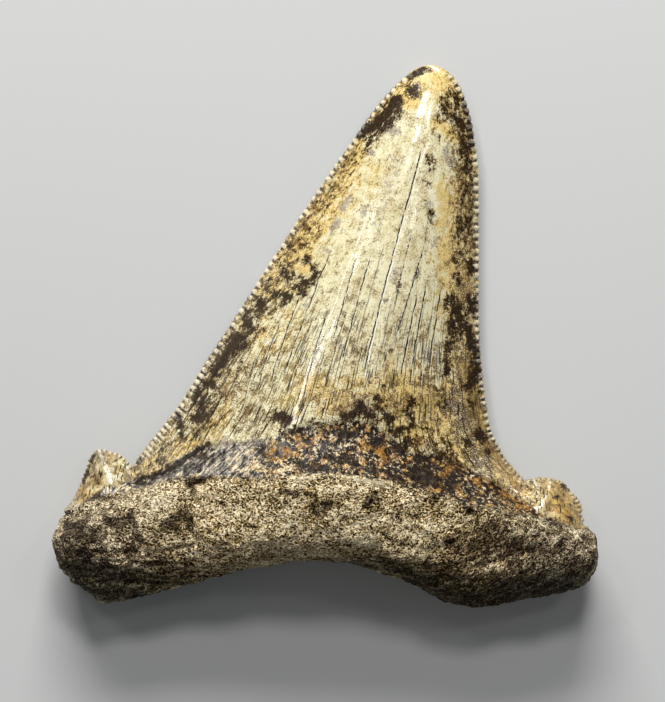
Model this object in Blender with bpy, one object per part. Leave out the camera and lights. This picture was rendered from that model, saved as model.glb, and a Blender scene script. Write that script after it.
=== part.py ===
"""A fossil shark tooth: a serrated triangular crown, two side cusplets and a two-lobed root, all one piece.

It lies on its labial face, the flatter outer side, with the bulging lingual side up. X runs across the root,
Y from the root to the tip and Z through the thickness. Lengths here are millimetres; the mesh is in metres.
"""

import math

import bmesh
import bpy
import numpy as np
from mathutils import Vector, noise
from mathutils.geometry import delaunay_2d_cdt

METRES = 0.001

# The outline, anticlockwise from above, in four stretches that meet at the two notches and the two shoulders.
CROWN_EDGE = [
    (30.6, -22.0), (28.7, -19.9), (26.9, -17.1), (25.3, -12.9), (24.0, -2.2), (23.8, 7.0), (23.8, 16.3),
    (23.7, 25.6), (23.0, 31.3), (22.1, 35.3), (20.9, 38.5), (19.5, 40.4), (18.0, 41.4), (16.3, 41.9),
    (14.6, 41.6), (12.7, 40.5), (9.8, 37.9), (6.2, 33.4), (-4.1, 18.5), (-14.9, 1.8), (-18.9, -4.3),
    (-22.7, -10.5), (-26.7, -15.6), (-29.5, -19.3),
]  # fmt: skip
LEFT_CUSPLET = [
    (-29.8, -20.3), (-30.6, -19.3), (-31.8, -18.2), (-33.4, -17.7), (-34.6, -17.4), (-35.7, -17.7),
    (-36.6, -18.8), (-37.2, -20.6), (-38.1, -23.1), (-39.1, -25.3), (-40.0, -27.1),
]  # fmt: skip
ROOT_MARGIN = [
    (-41.3, -28.5), (-42.1, -30.7), (-41.8, -33.0), (-41.2, -35.4), (-39.7, -37.3), (-37.2, -39.1),
    (-35.1, -40.8), (-33.7, -41.3), (-30.1, -40.4), (-24.7, -39.4), (-15.5, -36.8), (-7.0, -35.0),
    (3.0, -34.8), (10.7, -37.1), (16.9, -40.1), (20.4, -41.4), (24.3, -41.9), (28.4, -41.0),
    (37.1, -39.1), (39.8, -37.9), (41.4, -36.1), (42.0, -33.9), (41.8, -32.0), (41.1, -30.2), (40.1, -29.2),
]  # fmt: skip
RIGHT_CUSPLET = [
    (39.8, -28.4), (39.4, -27.3), (38.8, -25.4), (37.8, -23.9), (36.7, -22.5), (35.1, -21.9), (33.2, -21.7),
    (31.7, -21.9),
]  # fmt: skip

# Lines across the lingual face, from left to right: where the root starts to swell out under the crown, where
# its rough surface starts, where the enamel ends above the bourlette, and where the root turns under.
SWELLING_LINE = [
    (-40.0, -27.2), (-37.0, -25.4), (-33.5, -23.2), (-30.0, -21.4), (-24.0, -16.0), (-12.0, -10.5),
    (0.0, -9.0), (10.0, -11.0), (20.0, -17.0), (27.0, -22.6), (31.0, -24.4), (35.5, -27.0), (39.8, -28.7),
]  # fmt: skip
ROOT_LINE = [
    (-39.7, -27.1), (-34.7, -24.5), (-30.0, -23.7), (-21.6, -21.4), (-12.7, -21.3), (-0.4, -20.8), (6.4, -21.4),
    (13.6, -22.9), (22.1, -25.6), (31.0, -27.3), (36.6, -29.0), (40.0, -29.7),
]  # fmt: skip
ENAMEL_LINE = [
    (-30.6, -22.3), (-25.6, -20.9), (-21.1, -17.9), (-18.1, -16.8), (-7.9, -15.6), (-4.0, -13.9), (1.6, -13.2),
    (4.5, -12.9), (7.1, -13.6), (9.6, -15.3), (13.3, -18.0), (18.2, -18.6), (24.7, -21.9), (30.6, -25.6),
]  # fmt: skip
LEDGE_LINE = [
    (-42.0, -32.0), (-30.0, -33.2), (-18.0, -34.6), (-8.0, -37.0), (12.0, -39.5), (24.0, -37.0), (42.0, -36.4),
]  # fmt: skip
# The enamel's lower end on the labial face, where it reaches further down.
LABIAL_ENAMEL_LINE = [
    (-37.6, -26.2), (-31.0, -26.9), (-20.0, -28.0), (-8.0, -28.6), (2.0, -28.0), (12.0, -28.8), (24.0, -29.2),
    (32.0, -28.6), (37.6, -28.6),
]  # fmt: skip

# The cutting edges and the root's margin lie at an edge level between the two faces.
TIP_Y, BELLY_Y, CROWN_BASE_Y = 41.9, 12.0, -24.0
EDGE_LEVEL, EDGE_CURL = 2.0, 0.95
ROOT_LEVEL, ROOT_LEVEL_SPAN = 7.6, (-31.0, -18.0)

# How far the lingual face stands above that level.
CROWN_RISE, CROWN_TAPER, CROWN_HOLLOW, CROWN_FADE = 12.8, 0.62, 1.1, (-38.0, -22.0)
LOBE_RISE, TORUS_RISE, TORUS_HALF_WIDTH = 8.0, 4.6, 17.0
SHOULDER_RUN, SWELLING_RUN, SWELLING_HALF_WIDTH = 3.4, 13.0, 20.0
BASE_ROUNDING, UNDERSIDE_ROUNDING, FULLNESS = 7.4, 5.2, 2.5
CUSPLET_RISE, CUSPLET_HALF_WIDTH, CUSPLET_SPAN = 3.4, 4.2, (28.0, 31.0)
JOIN_SHARPNESS = 4.0

# The labial face: full and nearly flat, hollow at the neck and in the arch.
LABIAL_FULLNESS, LABIAL_ROUND, CROWN_SHARE_SPAN = 1.5, 0.75, (-29.0, -20.0)
BELLY_FLAT = 0.08
NECK_HOLLOW, NECK_Y, NECK_RUN = 1.5, -18.0, 12.0
ARCH_HOLLOW, ARCH_HALF_WIDTH, ARCH_SPAN = 2.4, 15.0, (-30.0, -24.0)
THINNEST = 0.05

# Relief.
SERRATION_DEPTH, SERRATION_REACH, WORN_TIP = 0.27, 1.1, 3.5
PITCH_LOW, PITCH_HIGH, PITCH_SPAN = 0.72, 1.22, (-27.0, 3.0)
# One serration from its valley on: each point's place along the pitch, and its share of the depth.
SERRATION_PROFILE = [(0.0, 1.0), (0.2, 0.3), (0.5, 0.0), (0.8, 0.3)]
STEP_WIDTH, BOURLETTE_STEP, LABIAL_STEP = 0.4, 0.3, 0.25
ROOT_ROUGH_RUN = 3.0
LUMP_SIZE, LINGUAL_LUMPS, LABIAL_LUMPS = 7.5, 0.7, 0.45
LEDGE_DROP, LEDGE_WIDTH = 1.1, 3.2
PITS = [{"x": 22.1, "y": -26.8, "radius": 0.9, "depth": 0.6},
        {"x": 14.3, "y": -20.9, "radius": 1.2, "depth": 0.4},
        {"x": 17.6, "y": -22.6, "radius": 1.0, "depth": 0.35}]  # fmt: skip
CUSPLET_FOLD = [(34.7, -22.0), (33.6, -24.0), (32.6, -26.2)]
FOLD_HEIGHT, FOLD_WIDTH = 0.7, 0.7

# Mesh spacing: along the root's margin, over each face, and in the ring inside the serrated edges.
MARGIN_SPACING, LINGUAL_SPACING, LABIAL_SPACING = 1.2, 1.55, 2.0
RING_INSET, RING_SPACING = 2.2, 1.4
STEP_SPACING = 1.4
FINE = 0.05


def smooth_curve(points, spacing):
    """Points about every `spacing` along a Catmull-Rom curve through `points`, both ends included."""
    given = np.array(points, float)
    ends = np.vstack([2 * given[0] - given[1], given, 2 * given[-1] - given[-2]])
    t = np.linspace(0, 1, 24, endpoint=False)[:, None]
    runs = []
    for a, b, c, d in zip(ends, ends[1:], ends[2:], ends[3:]):
        runs.append(0.5 * (2 * b + (c - a) * t + (2 * a - 5 * b + 4 * c - d) * t**2 + (3 * b - a - 3 * c + d) * t**3))
    fine = np.vstack([*runs, given[-1:]])
    run = np.concatenate([[0], np.cumsum(np.linalg.norm(np.diff(fine, axis=0), axis=1))])
    at = np.linspace(0, run[-1], max(2, round(run[-1] / spacing)) + 1)
    return np.stack([np.interp(at, run, fine[:, 0]), np.interp(at, run, fine[:, 1])], axis=1)


def inward_normals(curve):
    """Unit normals to the left of the curve's direction, which is inwards on an anticlockwise outline."""
    along = np.gradient(curve, axis=0)
    along /= np.linalg.norm(along, axis=1)[:, None]
    return np.stack([-along[:, 1], along[:, 0]], axis=1)


def smoothstep(low, high, value):
    t = np.clip((value - low) / (high - low), 0, 1)
    return t * t * (3 - 2 * t)


def hump(value, centre, half_width):
    """A bell curve, 1 at `centre`."""
    return np.exp(-(((value - centre) / half_width) ** 2))


def distance_to(line, p):
    """Each point's distance to a finely sampled line."""
    return np.sqrt(((p[:, None, :] - line[None, :, :]) ** 2).sum(axis=2)).min(axis=1)


def above(line, p):
    """How far each point's Y is above a line that runs from left to right."""
    curve = smooth_curve(line, 0.25)
    return p[:, 1] - np.interp(p[:, 0], curve[:, 0], curve[:, 1])


def full_outline():
    return np.vstack([smooth_curve(line, 0.25) for line in (CROWN_EDGE, LEFT_CUSPLET, ROOT_MARGIN, RIGHT_CUSPLET)])


def edge_level(p):
    """The height of the cutting edges and the margin: low along the crown, higher round the root."""
    crown = EDGE_LEVEL + EDGE_CURL * ((p[:, 1] - BELLY_Y) / (TIP_Y - BELLY_Y)) ** 2
    return crown + (ROOT_LEVEL - crown) * (1 - smoothstep(*ROOT_LEVEL_SPAN, p[:, 1]))


def across_crown(p):
    """Each point's place across the crown, from -1 at the left cutting edge to 1 at the right."""
    edge = smooth_curve(CROWN_EDGE, 0.25)
    top = int(np.argmax(edge[:, 1]))
    right, left = edge[: top + 1], edge[top:][::-1]
    x_right = np.interp(p[:, 1], right[:, 1], right[:, 0])
    x_left = np.interp(p[:, 1], left[:, 1], left[:, 0])
    half = np.maximum((x_right - x_left) / 2, SERRATION_DEPTH)
    return np.clip((p[:, 0] - (x_right + x_left) / 2) / half, -1, 1)


def crown_lens(p):
    """The crown's lens-shaped section: 1 along its middle at the base, 0 at its edges and tip."""
    along = np.clip((p[:, 1] - CROWN_BASE_Y) / (TIP_Y - CROWN_BASE_Y), 0, 1)
    return (1 - across_crown(p) ** 2) ** CROWN_HOLLOW * (1 - along) ** CROWN_TAPER


def cusplet_lens(p):
    """The side cusplets' sections, which run on down under the root's swelling."""
    lens = np.zeros(len(p))
    for line, side in ((LEFT_CUSPLET, -1), (RIGHT_CUSPLET, 1)):
        t = np.clip(distance_to(smooth_curve(line, 0.25), p) / CUSPLET_HALF_WIDTH, 0, 1)
        lens = np.maximum(lens, smoothstep(*CUSPLET_SPAN, side * p[:, 0]) * t * (2 - t))
    return lens


def swelling(p):
    """How far the root has swelled out under the crown: gently in the middle, sharply below the cusplets."""
    below = distance_to(smooth_curve(SWELLING_LINE, 0.25), p) * (above(SWELLING_LINE, p) < 0)
    run = SHOULDER_RUN + (SWELLING_RUN - SHOULDER_RUN) * hump(p[:, 0], 0, SWELLING_HALF_WIDTH)
    return smoothstep(0, run, below)


def rim_roundness(p, radius):
    """0 at the outline, rising steeply like the side of a pebble to 1 at `radius` from it."""
    t = 1 - np.clip(distance_to(full_outline(), p) / radius, 0, 1)
    return (1 - t**FULLNESS) ** (1 / 2.1)


def lumps(p, seed):
    """Uneven swellings, from about -1 to 1."""
    return np.array([noise.fractal(Vector((x / LUMP_SIZE, y / LUMP_SIZE, seed)), 1.0, 2.0, 2) for x, y in p])


def lingual_height(p):
    """The upper, bulging face."""
    x, y = p[:, 0], p[:, 1]
    crown = CROWN_RISE * crown_lens(p) * smoothstep(*CROWN_FADE, y)
    root = LOBE_RISE + TORUS_RISE * hump(x, 0, TORUS_HALF_WIDTH)
    root *= swelling(p) * rim_roundness(p, BASE_ROUNDING)
    cusplets = CUSPLET_RISE * cusplet_lens(p)
    # The three run together, with a soft hollow where they meet.
    rise = sum(part**JOIN_SHARPNESS for part in (crown, root, cusplets)) ** (1 / JOIN_SHARPNESS)

    relief = LINGUAL_LUMPS * smoothstep(0, ROOT_ROUGH_RUN, -above(ROOT_LINE, p)) * lumps(p, 0.3)
    relief -= LEDGE_DROP * smoothstep(0, LEDGE_WIDTH, -above(LEDGE_LINE, p))
    bourlette = smoothstep(0, STEP_WIDTH, -above(ENAMEL_LINE, p)) * smoothstep(0, 4 * STEP_WIDTH, above(ROOT_LINE, p))
    relief -= BOURLETTE_STEP * bourlette * (ENAMEL_LINE[0][0] < x) * (x < ENAMEL_LINE[-1][0])
    relief += FOLD_HEIGHT * hump(distance_to(smooth_curve(CUSPLET_FOLD, FINE), p), 0, FOLD_WIDTH)
    for pit in PITS:
        relief -= pit["depth"] * (1 - smoothstep(0, pit["radius"], np.hypot(x - pit["x"], y - pit["y"])))
    rise += relief * np.clip(rise / ROOT_ROUGH_RUN, 0, 1)
    return edge_level(p) + np.maximum(rise, THINNEST)


def labial_height(p):
    """The lower, flatter face, at 0 where the tooth rests: on both lobes and on the crown's belly."""
    x, y = p[:, 0], p[:, 1]
    face = NECK_HOLLOW * hump(y, NECK_Y, NECK_RUN)
    face += ARCH_HOLLOW * hump(x, 0, ARCH_HALF_WIDTH) * (1 - smoothstep(*ARCH_SPAN, y))
    face += EDGE_CURL * (np.maximum(y - BELLY_Y, 0) / (TIP_Y - BELLY_Y)) ** 2
    root_share = smoothstep(0, ROOT_ROUGH_RUN, -above(LABIAL_ENAMEL_LINE, p))
    face += LABIAL_STEP * smoothstep(0, STEP_WIDTH, -above(LABIAL_ENAMEL_LINE, p))
    face -= BELLY_FLAT + LABIAL_LUMPS * root_share * (1 + lumps(p, 5.7))

    crown_share = smoothstep(*CROWN_SHARE_SPAN, y)
    fullness = crown_share * np.minimum(LABIAL_FULLNESS * crown_lens(p) ** LABIAL_ROUND, 1)
    fullness += (1 - crown_share) * rim_roundness(p, UNDERSIDE_ROUNDING)
    level = edge_level(p)
    return np.clip(level - (level - face) * fullness, 0, level - THINNEST)


def serrated_stretch(points):
    """A cutting edge of rounded serrations, the rim points of each one, and a point behind it that they run in to."""
    line = smooth_curve(points, FINE)
    y = line[:, 1]
    pitch = PITCH_LOW + (PITCH_HIGH - PITCH_LOW) * smoothstep(*PITCH_SPAN, y)
    teeth = np.cumsum(FINE / pitch)
    count = round(teeth[-1])
    places, shares = np.array(SERRATION_PROFILE).T
    phase = np.append((np.arange(count)[:, None] + places).ravel(), count)
    share = np.append(np.tile(shares, count), shares[0])
    index = np.interp(phase * teeth[-1] / count, teeth, np.arange(len(line))).round().astype(int)
    base, normals = line[index], inward_normals(line)[index]
    depth = SERRATION_DEPTH * share * smoothstep(0, WORN_TIP, TIP_Y - base[:, 1])
    peaks = np.arange(2, len(base), len(places))
    rounded = [(peak - 1, peak, peak + 1) for peak in peaks]
    return base + normals * depth[:, None], rounded, base[peaks] + normals[peaks] * SERRATION_REACH


def plain_stretch(points):
    """The root's margin, with a point a little way in from each of its own points."""
    rim = smooth_curve(points, MARGIN_SPACING)
    index = np.arange(1, len(rim) - 1)
    return rim, [(i,) for i in index], (rim + inward_normals(rim) * SERRATION_REACH)[index]


def outline():
    """The rim's points in order, the points just inside it, and the pairs of them that an edge joins."""
    stretches = [
        serrated_stretch(CROWN_EDGE),
        serrated_stretch(LEFT_CUSPLET),
        plain_stretch(ROOT_MARGIN),
        serrated_stretch(RIGHT_CUSPLET),
    ]
    rim, inner, joined = [], [], []
    for points, groups, inside in stretches:
        joined.extend((len(rim) + int(i), len(inner) + j) for j, group in enumerate(groups) for i in group)
        inner.extend(inside)
        rim.extend(points)
    return np.array(rim), np.array(inner), joined


def within(rim, p):
    """The points of `p` that lie inside the closed rim: an odd number of its edges is to their right."""
    a, b = rim, np.roll(rim, -1, axis=0)
    x, y = p[:, 0:1], p[:, 1:2]
    crosses = (a[:, 1] > y) != (b[:, 1] > y)
    drop = np.where(b[:, 1] == a[:, 1], 1, b[:, 1] - a[:, 1])
    at = a[:, 0] + (y - a[:, 1]) * (b[:, 0] - a[:, 0]) / drop
    return p[(crosses & (x < at)).sum(axis=1) % 2 == 1]


def clear_of(others, p, gap):
    """The points of `p` that are further than `gap` from all the others."""
    return p[distance_to(others, p) > gap]


def second_ring():
    """Points further in from the outline, where the spacing widens."""
    rings = []
    for points in (CROWN_EDGE, LEFT_CUSPLET, ROOT_MARGIN, RIGHT_CUSPLET):
        line = smooth_curve(points, RING_SPACING)
        rings.append((line + inward_normals(line) * RING_INSET)[1:-1])
    kept = []
    for point in np.vstack(rings):
        if not kept or np.linalg.norm(np.array(kept) - point, axis=1).min() > 0.7 * RING_SPACING:
            kept.append(point)
    return np.array(kept)


def step_points(lines):
    """Pairs of points on both sides of each step in a face, so that its edge stays crisp."""
    rows = [smooth_curve(line, STEP_SPACING) for line in lines]
    return np.vstack(rows + [row - (0, STEP_WIDTH) for row in rows])


def pit_points():
    """A centre and a ring for each pit."""
    turns = np.linspace(0, 2 * math.pi, 6, endpoint=False)
    ring = np.vstack([(0, 0), np.stack([np.cos(turns), np.sin(turns)], axis=1)])
    return np.vstack([ring * pit["radius"] + (pit["x"], pit["y"]) for pit in PITS])


def spread_points(rim, step):
    """A triangular grid of points `step` apart over the whole outline."""
    low, high = rim.min(axis=0), rim.max(axis=0)
    rows = np.arange(low[1], high[1], step * math.sqrt(3) / 2)
    columns = np.arange(low[0], high[0], step)
    return np.array([(x + step / 2 * (i % 2), y) for i, y in enumerate(rows) for x in columns])


def face_points(rim, inner, features, spacing):
    """All the points inside the rim for one face, the important ones first."""
    points = inner
    layers = [(features, 0.55), (second_ring(), 0.8), (spread_points(rim, spacing), 0.72 * spacing)]
    for layer, gap in layers:
        layer = clear_of(rim, within(rim, layer), SERRATION_REACH)
        points = np.vstack([points, clear_of(points, layer, gap)])
    return points


def triangles(rim, points, joined):
    """Delaunay triangles inside the rim, with an edge from each inner point out to its own rim points."""
    count = len(rim)
    edges = [(i, (i + 1) % count) for i in range(count)]
    edges += [(i, count + j) for i, j in joined]
    corners = [Vector(p) for p in np.vstack([rim, points])]
    _, _, faces, given, _, _ = delaunay_2d_cdt(corners, edges, [], 1, 1e-6)
    return [[given[v][0] for v in face] for face in faces]


def tooth_mesh():
    """Both faces' triangles, sewn together along the shared rim."""
    rim, inner, joined = outline()
    lingual_features = np.vstack([pit_points(), step_points([ENAMEL_LINE, ROOT_LINE])])
    upper = face_points(rim, inner, lingual_features, LINGUAL_SPACING)
    lower = face_points(rim, inner, step_points([LABIAL_ENAMEL_LINE]), LABIAL_SPACING)
    corners = np.vstack([
        np.column_stack([rim, edge_level(rim)]),
        np.column_stack([upper, lingual_height(upper)]),
        np.column_stack([lower, labial_height(lower)]),
    ])
    centre = (corners.min(axis=0) + corners.max(axis=0)) / 2
    corners -= (centre[0], centre[1], corners[:, 2].min())

    made = bmesh.new()
    verts = [made.verts.new(corner * METRES) for corner in corners]
    for face in triangles(rim, upper, joined):
        made.faces.new([verts[v] for v in face])
    for face in triangles(rim, lower, joined):
        made.faces.new([verts[v if v < len(rim) else v + len(upper)] for v in reversed(face)])
    mesh = bpy.data.meshes.new("tooth")
    made.to_mesh(mesh)
    made.free()
    return mesh


def fossil_material():
    """Stained enamel and root in one plain tone."""
    material = bpy.data.materials.new("fossil")
    material.use_nodes = True
    shader = material.node_tree.nodes["Principled BSDF"]
    shader.inputs["Base Color"].default_value = (0.42, 0.34, 0.20, 1.0)
    shader.inputs["Roughness"].default_value = 0.4
    shader.inputs["Metallic"].default_value = 0.0
    return material


def main():
    for old in list(bpy.data.objects):
        bpy.data.objects.remove(old)
    mesh = tooth_mesh()
    mesh.materials.append(fossil_material())
    mesh.shade_smooth()
    mesh.set_sharp_from_angle(angle=math.radians(40))
    tooth = bpy.data.objects.new("tooth", mesh)
    bpy.context.scene.collection.objects.link(tooth)


main()
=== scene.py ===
# Looks for a fossil shark tooth: stained, cracked enamel over a granular root, lying on its flatter face.
# Lengths are millimetres unless a line says otherwise. X runs across the root and Y from the root to the tip.

import math

import bpy
import numpy as np
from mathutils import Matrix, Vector, noise
from mathutils.kdtree import KDTree


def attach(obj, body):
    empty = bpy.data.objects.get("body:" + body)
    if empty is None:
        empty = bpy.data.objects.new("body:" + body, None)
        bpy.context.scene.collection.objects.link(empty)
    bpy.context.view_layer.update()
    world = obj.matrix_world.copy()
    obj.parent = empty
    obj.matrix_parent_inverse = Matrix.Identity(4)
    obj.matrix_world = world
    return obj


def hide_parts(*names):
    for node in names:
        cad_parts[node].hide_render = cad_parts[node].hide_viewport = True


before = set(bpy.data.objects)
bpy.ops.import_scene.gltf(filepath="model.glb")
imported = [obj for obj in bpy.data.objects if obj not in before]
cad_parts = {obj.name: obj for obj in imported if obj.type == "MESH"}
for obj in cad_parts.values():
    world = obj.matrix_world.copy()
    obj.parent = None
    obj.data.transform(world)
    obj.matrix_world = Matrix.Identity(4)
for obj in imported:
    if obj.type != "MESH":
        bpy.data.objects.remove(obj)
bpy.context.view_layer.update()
metre = 0.001  # one millimetre in metres
print("frame loaded")


# the solid's own lines, which the looks follow
toothLines = {
    "crownEdge": [
        (30.6, -22.0), (28.7, -19.9), (26.9, -17.1), (25.3, -12.9), (24.0, -2.2), (23.8, 7.0), (23.8, 16.3),
        (23.7, 25.6), (23.0, 31.3), (22.1, 35.3), (20.9, 38.5), (19.5, 40.4), (18.0, 41.4), (16.3, 41.9),
        (14.6, 41.6), (12.7, 40.5), (9.8, 37.9), (6.2, 33.4), (-4.1, 18.5), (-14.9, 1.8), (-18.9, -4.3),
        (-22.7, -10.5), (-26.7, -15.6), (-29.5, -19.3),
    ],
    "leftCusplet": [
        (-29.8, -20.3), (-30.6, -19.3), (-31.8, -18.2), (-33.4, -17.7), (-34.6, -17.4), (-35.7, -17.7),
        (-36.6, -18.8), (-37.2, -20.6), (-38.1, -23.1), (-39.1, -25.3), (-40.0, -27.1),
    ],
    "rightCusplet": [
        (39.8, -28.4), (39.4, -27.3), (38.8, -25.4), (37.8, -23.9), (36.7, -22.5), (35.1, -21.9),
        (33.2, -21.7), (31.7, -21.9),
    ],
    "rootTop": [  # where the rough root surface starts, from left to right
        (-41.5, -27.6), (-39.7, -27.1), (-34.7, -24.5), (-30.0, -23.7), (-21.6, -21.4), (-12.7, -21.3),
        (-0.4, -20.8), (6.4, -21.4), (13.6, -22.9), (22.1, -25.6), (31.0, -27.3), (36.6, -29.0),
        (41.5, -29.9),
    ],
    "enamelEnd": [  # where the crown's enamel ends above the bourlette
        (-41.5, -27.4), (-34.7, -24.6), (-30.6, -22.3), (-25.6, -20.9), (-21.1, -17.9), (-18.1, -16.8),
        (-7.9, -15.6), (-4.0, -13.9), (1.6, -13.2), (4.5, -12.9), (7.1, -13.6), (9.6, -15.3), (13.3, -18.0),
        (18.2, -18.6), (24.7, -21.9), (30.6, -25.6), (36.6, -28.9), (41.5, -29.8),
    ],
    "rootLedge": [  # below it the root turns under in layers
        (-43.0, -32.6), (-35.0, -32.8), (-24.7, -32.7), (-19.0, -33.9), (-10.7, -33.4), (-3.9, -33.3),
        (9.9, -33.3), (16.1, -34.5), (26.9, -36.1), (36.1, -36.4), (43.0, -34.8),
    ],
    "enamelEndBelow": [  # the same on the face it lies on
        (-41.5, -27.4), (-37.6, -26.2), (-31.0, -26.9), (-20.0, -28.0), (-8.0, -28.6), (2.0, -28.0),
        (12.0, -28.8), (24.0, -29.2), (32.0, -28.6), (37.6, -28.6), (41.5, -29.8),
    ],
}  # fmt: skip

serrations = {
    "pitchLow": 0.72, "pitchHigh": 1.22, "pitchSpan": (-27, 3),  # as the solid's own
    "beadHeight": 0.2, "gapDepth": 0.13, "beadLength": 1.1, "wornTip": 3.5,
    "unevenCount": 0.22,
    "reachChange": 0.7,  # beads are longer low on the left edge and shorter on the cusplets
}  # fmt: skip
lineSpacing = {"line": 0.25, "cuttingEdge": 0.05}
tipY = max(y for _, y in toothLines["crownEdge"])


def smoothCurve(points, spacing):
    given = np.array(points, float)
    ends = np.vstack([2 * given[0] - given[1], given, 2 * given[-1] - given[-2]])
    t = np.linspace(0, 1, 24, endpoint=False)[:, None]
    runs = []
    for a, b, c, d in zip(ends, ends[1:], ends[2:], ends[3:]):
        curve = 2 * b + (c - a) * t + (2 * a - 5 * b + 4 * c - d) * t**2 + (3 * b - a - 3 * c + d) * t**3
        runs.append(0.5 * curve)
    fine = np.vstack([*runs, given[-1:]])
    run = np.concatenate([[0], np.cumsum(np.linalg.norm(np.diff(fine, axis=0), axis=1))])
    at = np.linspace(0, run[-1], max(2, round(run[-1] / spacing)) + 1)
    return np.stack([np.interp(at, run, fine[:, 0]), np.interp(at, run, fine[:, 1])], axis=1)


def smoothstep(low, high, value):
    t = np.clip((value - low) / (high - low), 0, 1)
    return t * t * (3 - 2 * t)


def aboveLine(line, p):
    # how far each point's Y is above a line that runs from left to right
    curve = smoothCurve(line, lineSpacing["line"])
    return p[:, 1] - np.interp(p[:, 0], curve[:, 0], curve[:, 1])


def crownHalves(p):
    # the crown's middle and half width at each point's height
    edge = smoothCurve(toothLines["crownEdge"], lineSpacing["line"])
    top = int(np.argmax(edge[:, 1]))
    right, left = edge[: top + 1], edge[top:][::-1]
    xRight = np.interp(p[:, 1], right[:, 1], right[:, 0])
    xLeft = np.interp(p[:, 1], left[:, 1], left[:, 0])
    return (xRight + xLeft) / 2, np.maximum((xRight - xLeft) / 2, 0.3)


def cuttingEdge(p):
    # each point's distance to the nearest cutting edge, and its place along that edge counted in serrations
    edgePoints, counts = [], []
    for name in ("crownEdge", "leftCusplet", "rightCusplet"):
        line = smoothCurve(toothLines[name], lineSpacing["cuttingEdge"])
        share = smoothstep(*serrations["pitchSpan"], line[:, 1])
        pitch = serrations["pitchLow"] + (serrations["pitchHigh"] - serrations["pitchLow"]) * share
        teeth = np.cumsum(lineSpacing["cuttingEdge"] / pitch)
        edgePoints.append(line)
        counts.append(teeth * round(teeth[-1]) / teeth[-1] + 0.5)
    edgePoints, counts = np.vstack(edgePoints), np.concatenate(counts)
    tree = KDTree(len(edgePoints))
    for i, point in enumerate(edgePoints):
        tree.insert((point[0], point[1], 0), i)
    tree.balance()
    found = [tree.find((x, y, 0)) for x, y in p]
    return np.array([f[2] for f in found]), counts[[f[1] for f in found]]


def strokeField(p, strokes, spread=1.0):
    # brush strokes of (strength, width, points): half their strength at half their width
    field = np.zeros(len(p))
    for strength, width, points in strokes:
        line = np.array(points, float)
        gap = np.full(len(p), 1e9)
        for a, b in zip(line, line[1:] if len(line) > 1 else line):
            run = b - a
            t = np.clip(((p - a) @ run) / max(run @ run, 1e-9), 0, 1)
            gap = np.minimum(gap, np.hypot(p[:, 0] - a[0] - t * run[0], p[:, 1] - a[1] - t * run[1]))
        field = np.maximum(field, strength * np.exp(-0.7 * (2 * gap / (width * spread)) ** 2))
    return field


# marks are strokes given in pixels with Y down: (strength, width, [points])
strokePixels = {"perMillimetre": 6.49, "middle": (325.5, 336.0)}


def onTooth(strokes):
    # the same strokes in millimetres
    scale = strokePixels["perMillimetre"]
    middleX, middleY = strokePixels["middle"]
    return [
        (strength, round(width / scale, 2), [
            (round((x - middleX) / scale, 1), round((middleY - y) / scale, 1)) for x, y in points
        ])
        for strength, width, points in strokes
    ]  # fmt: skip


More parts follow.
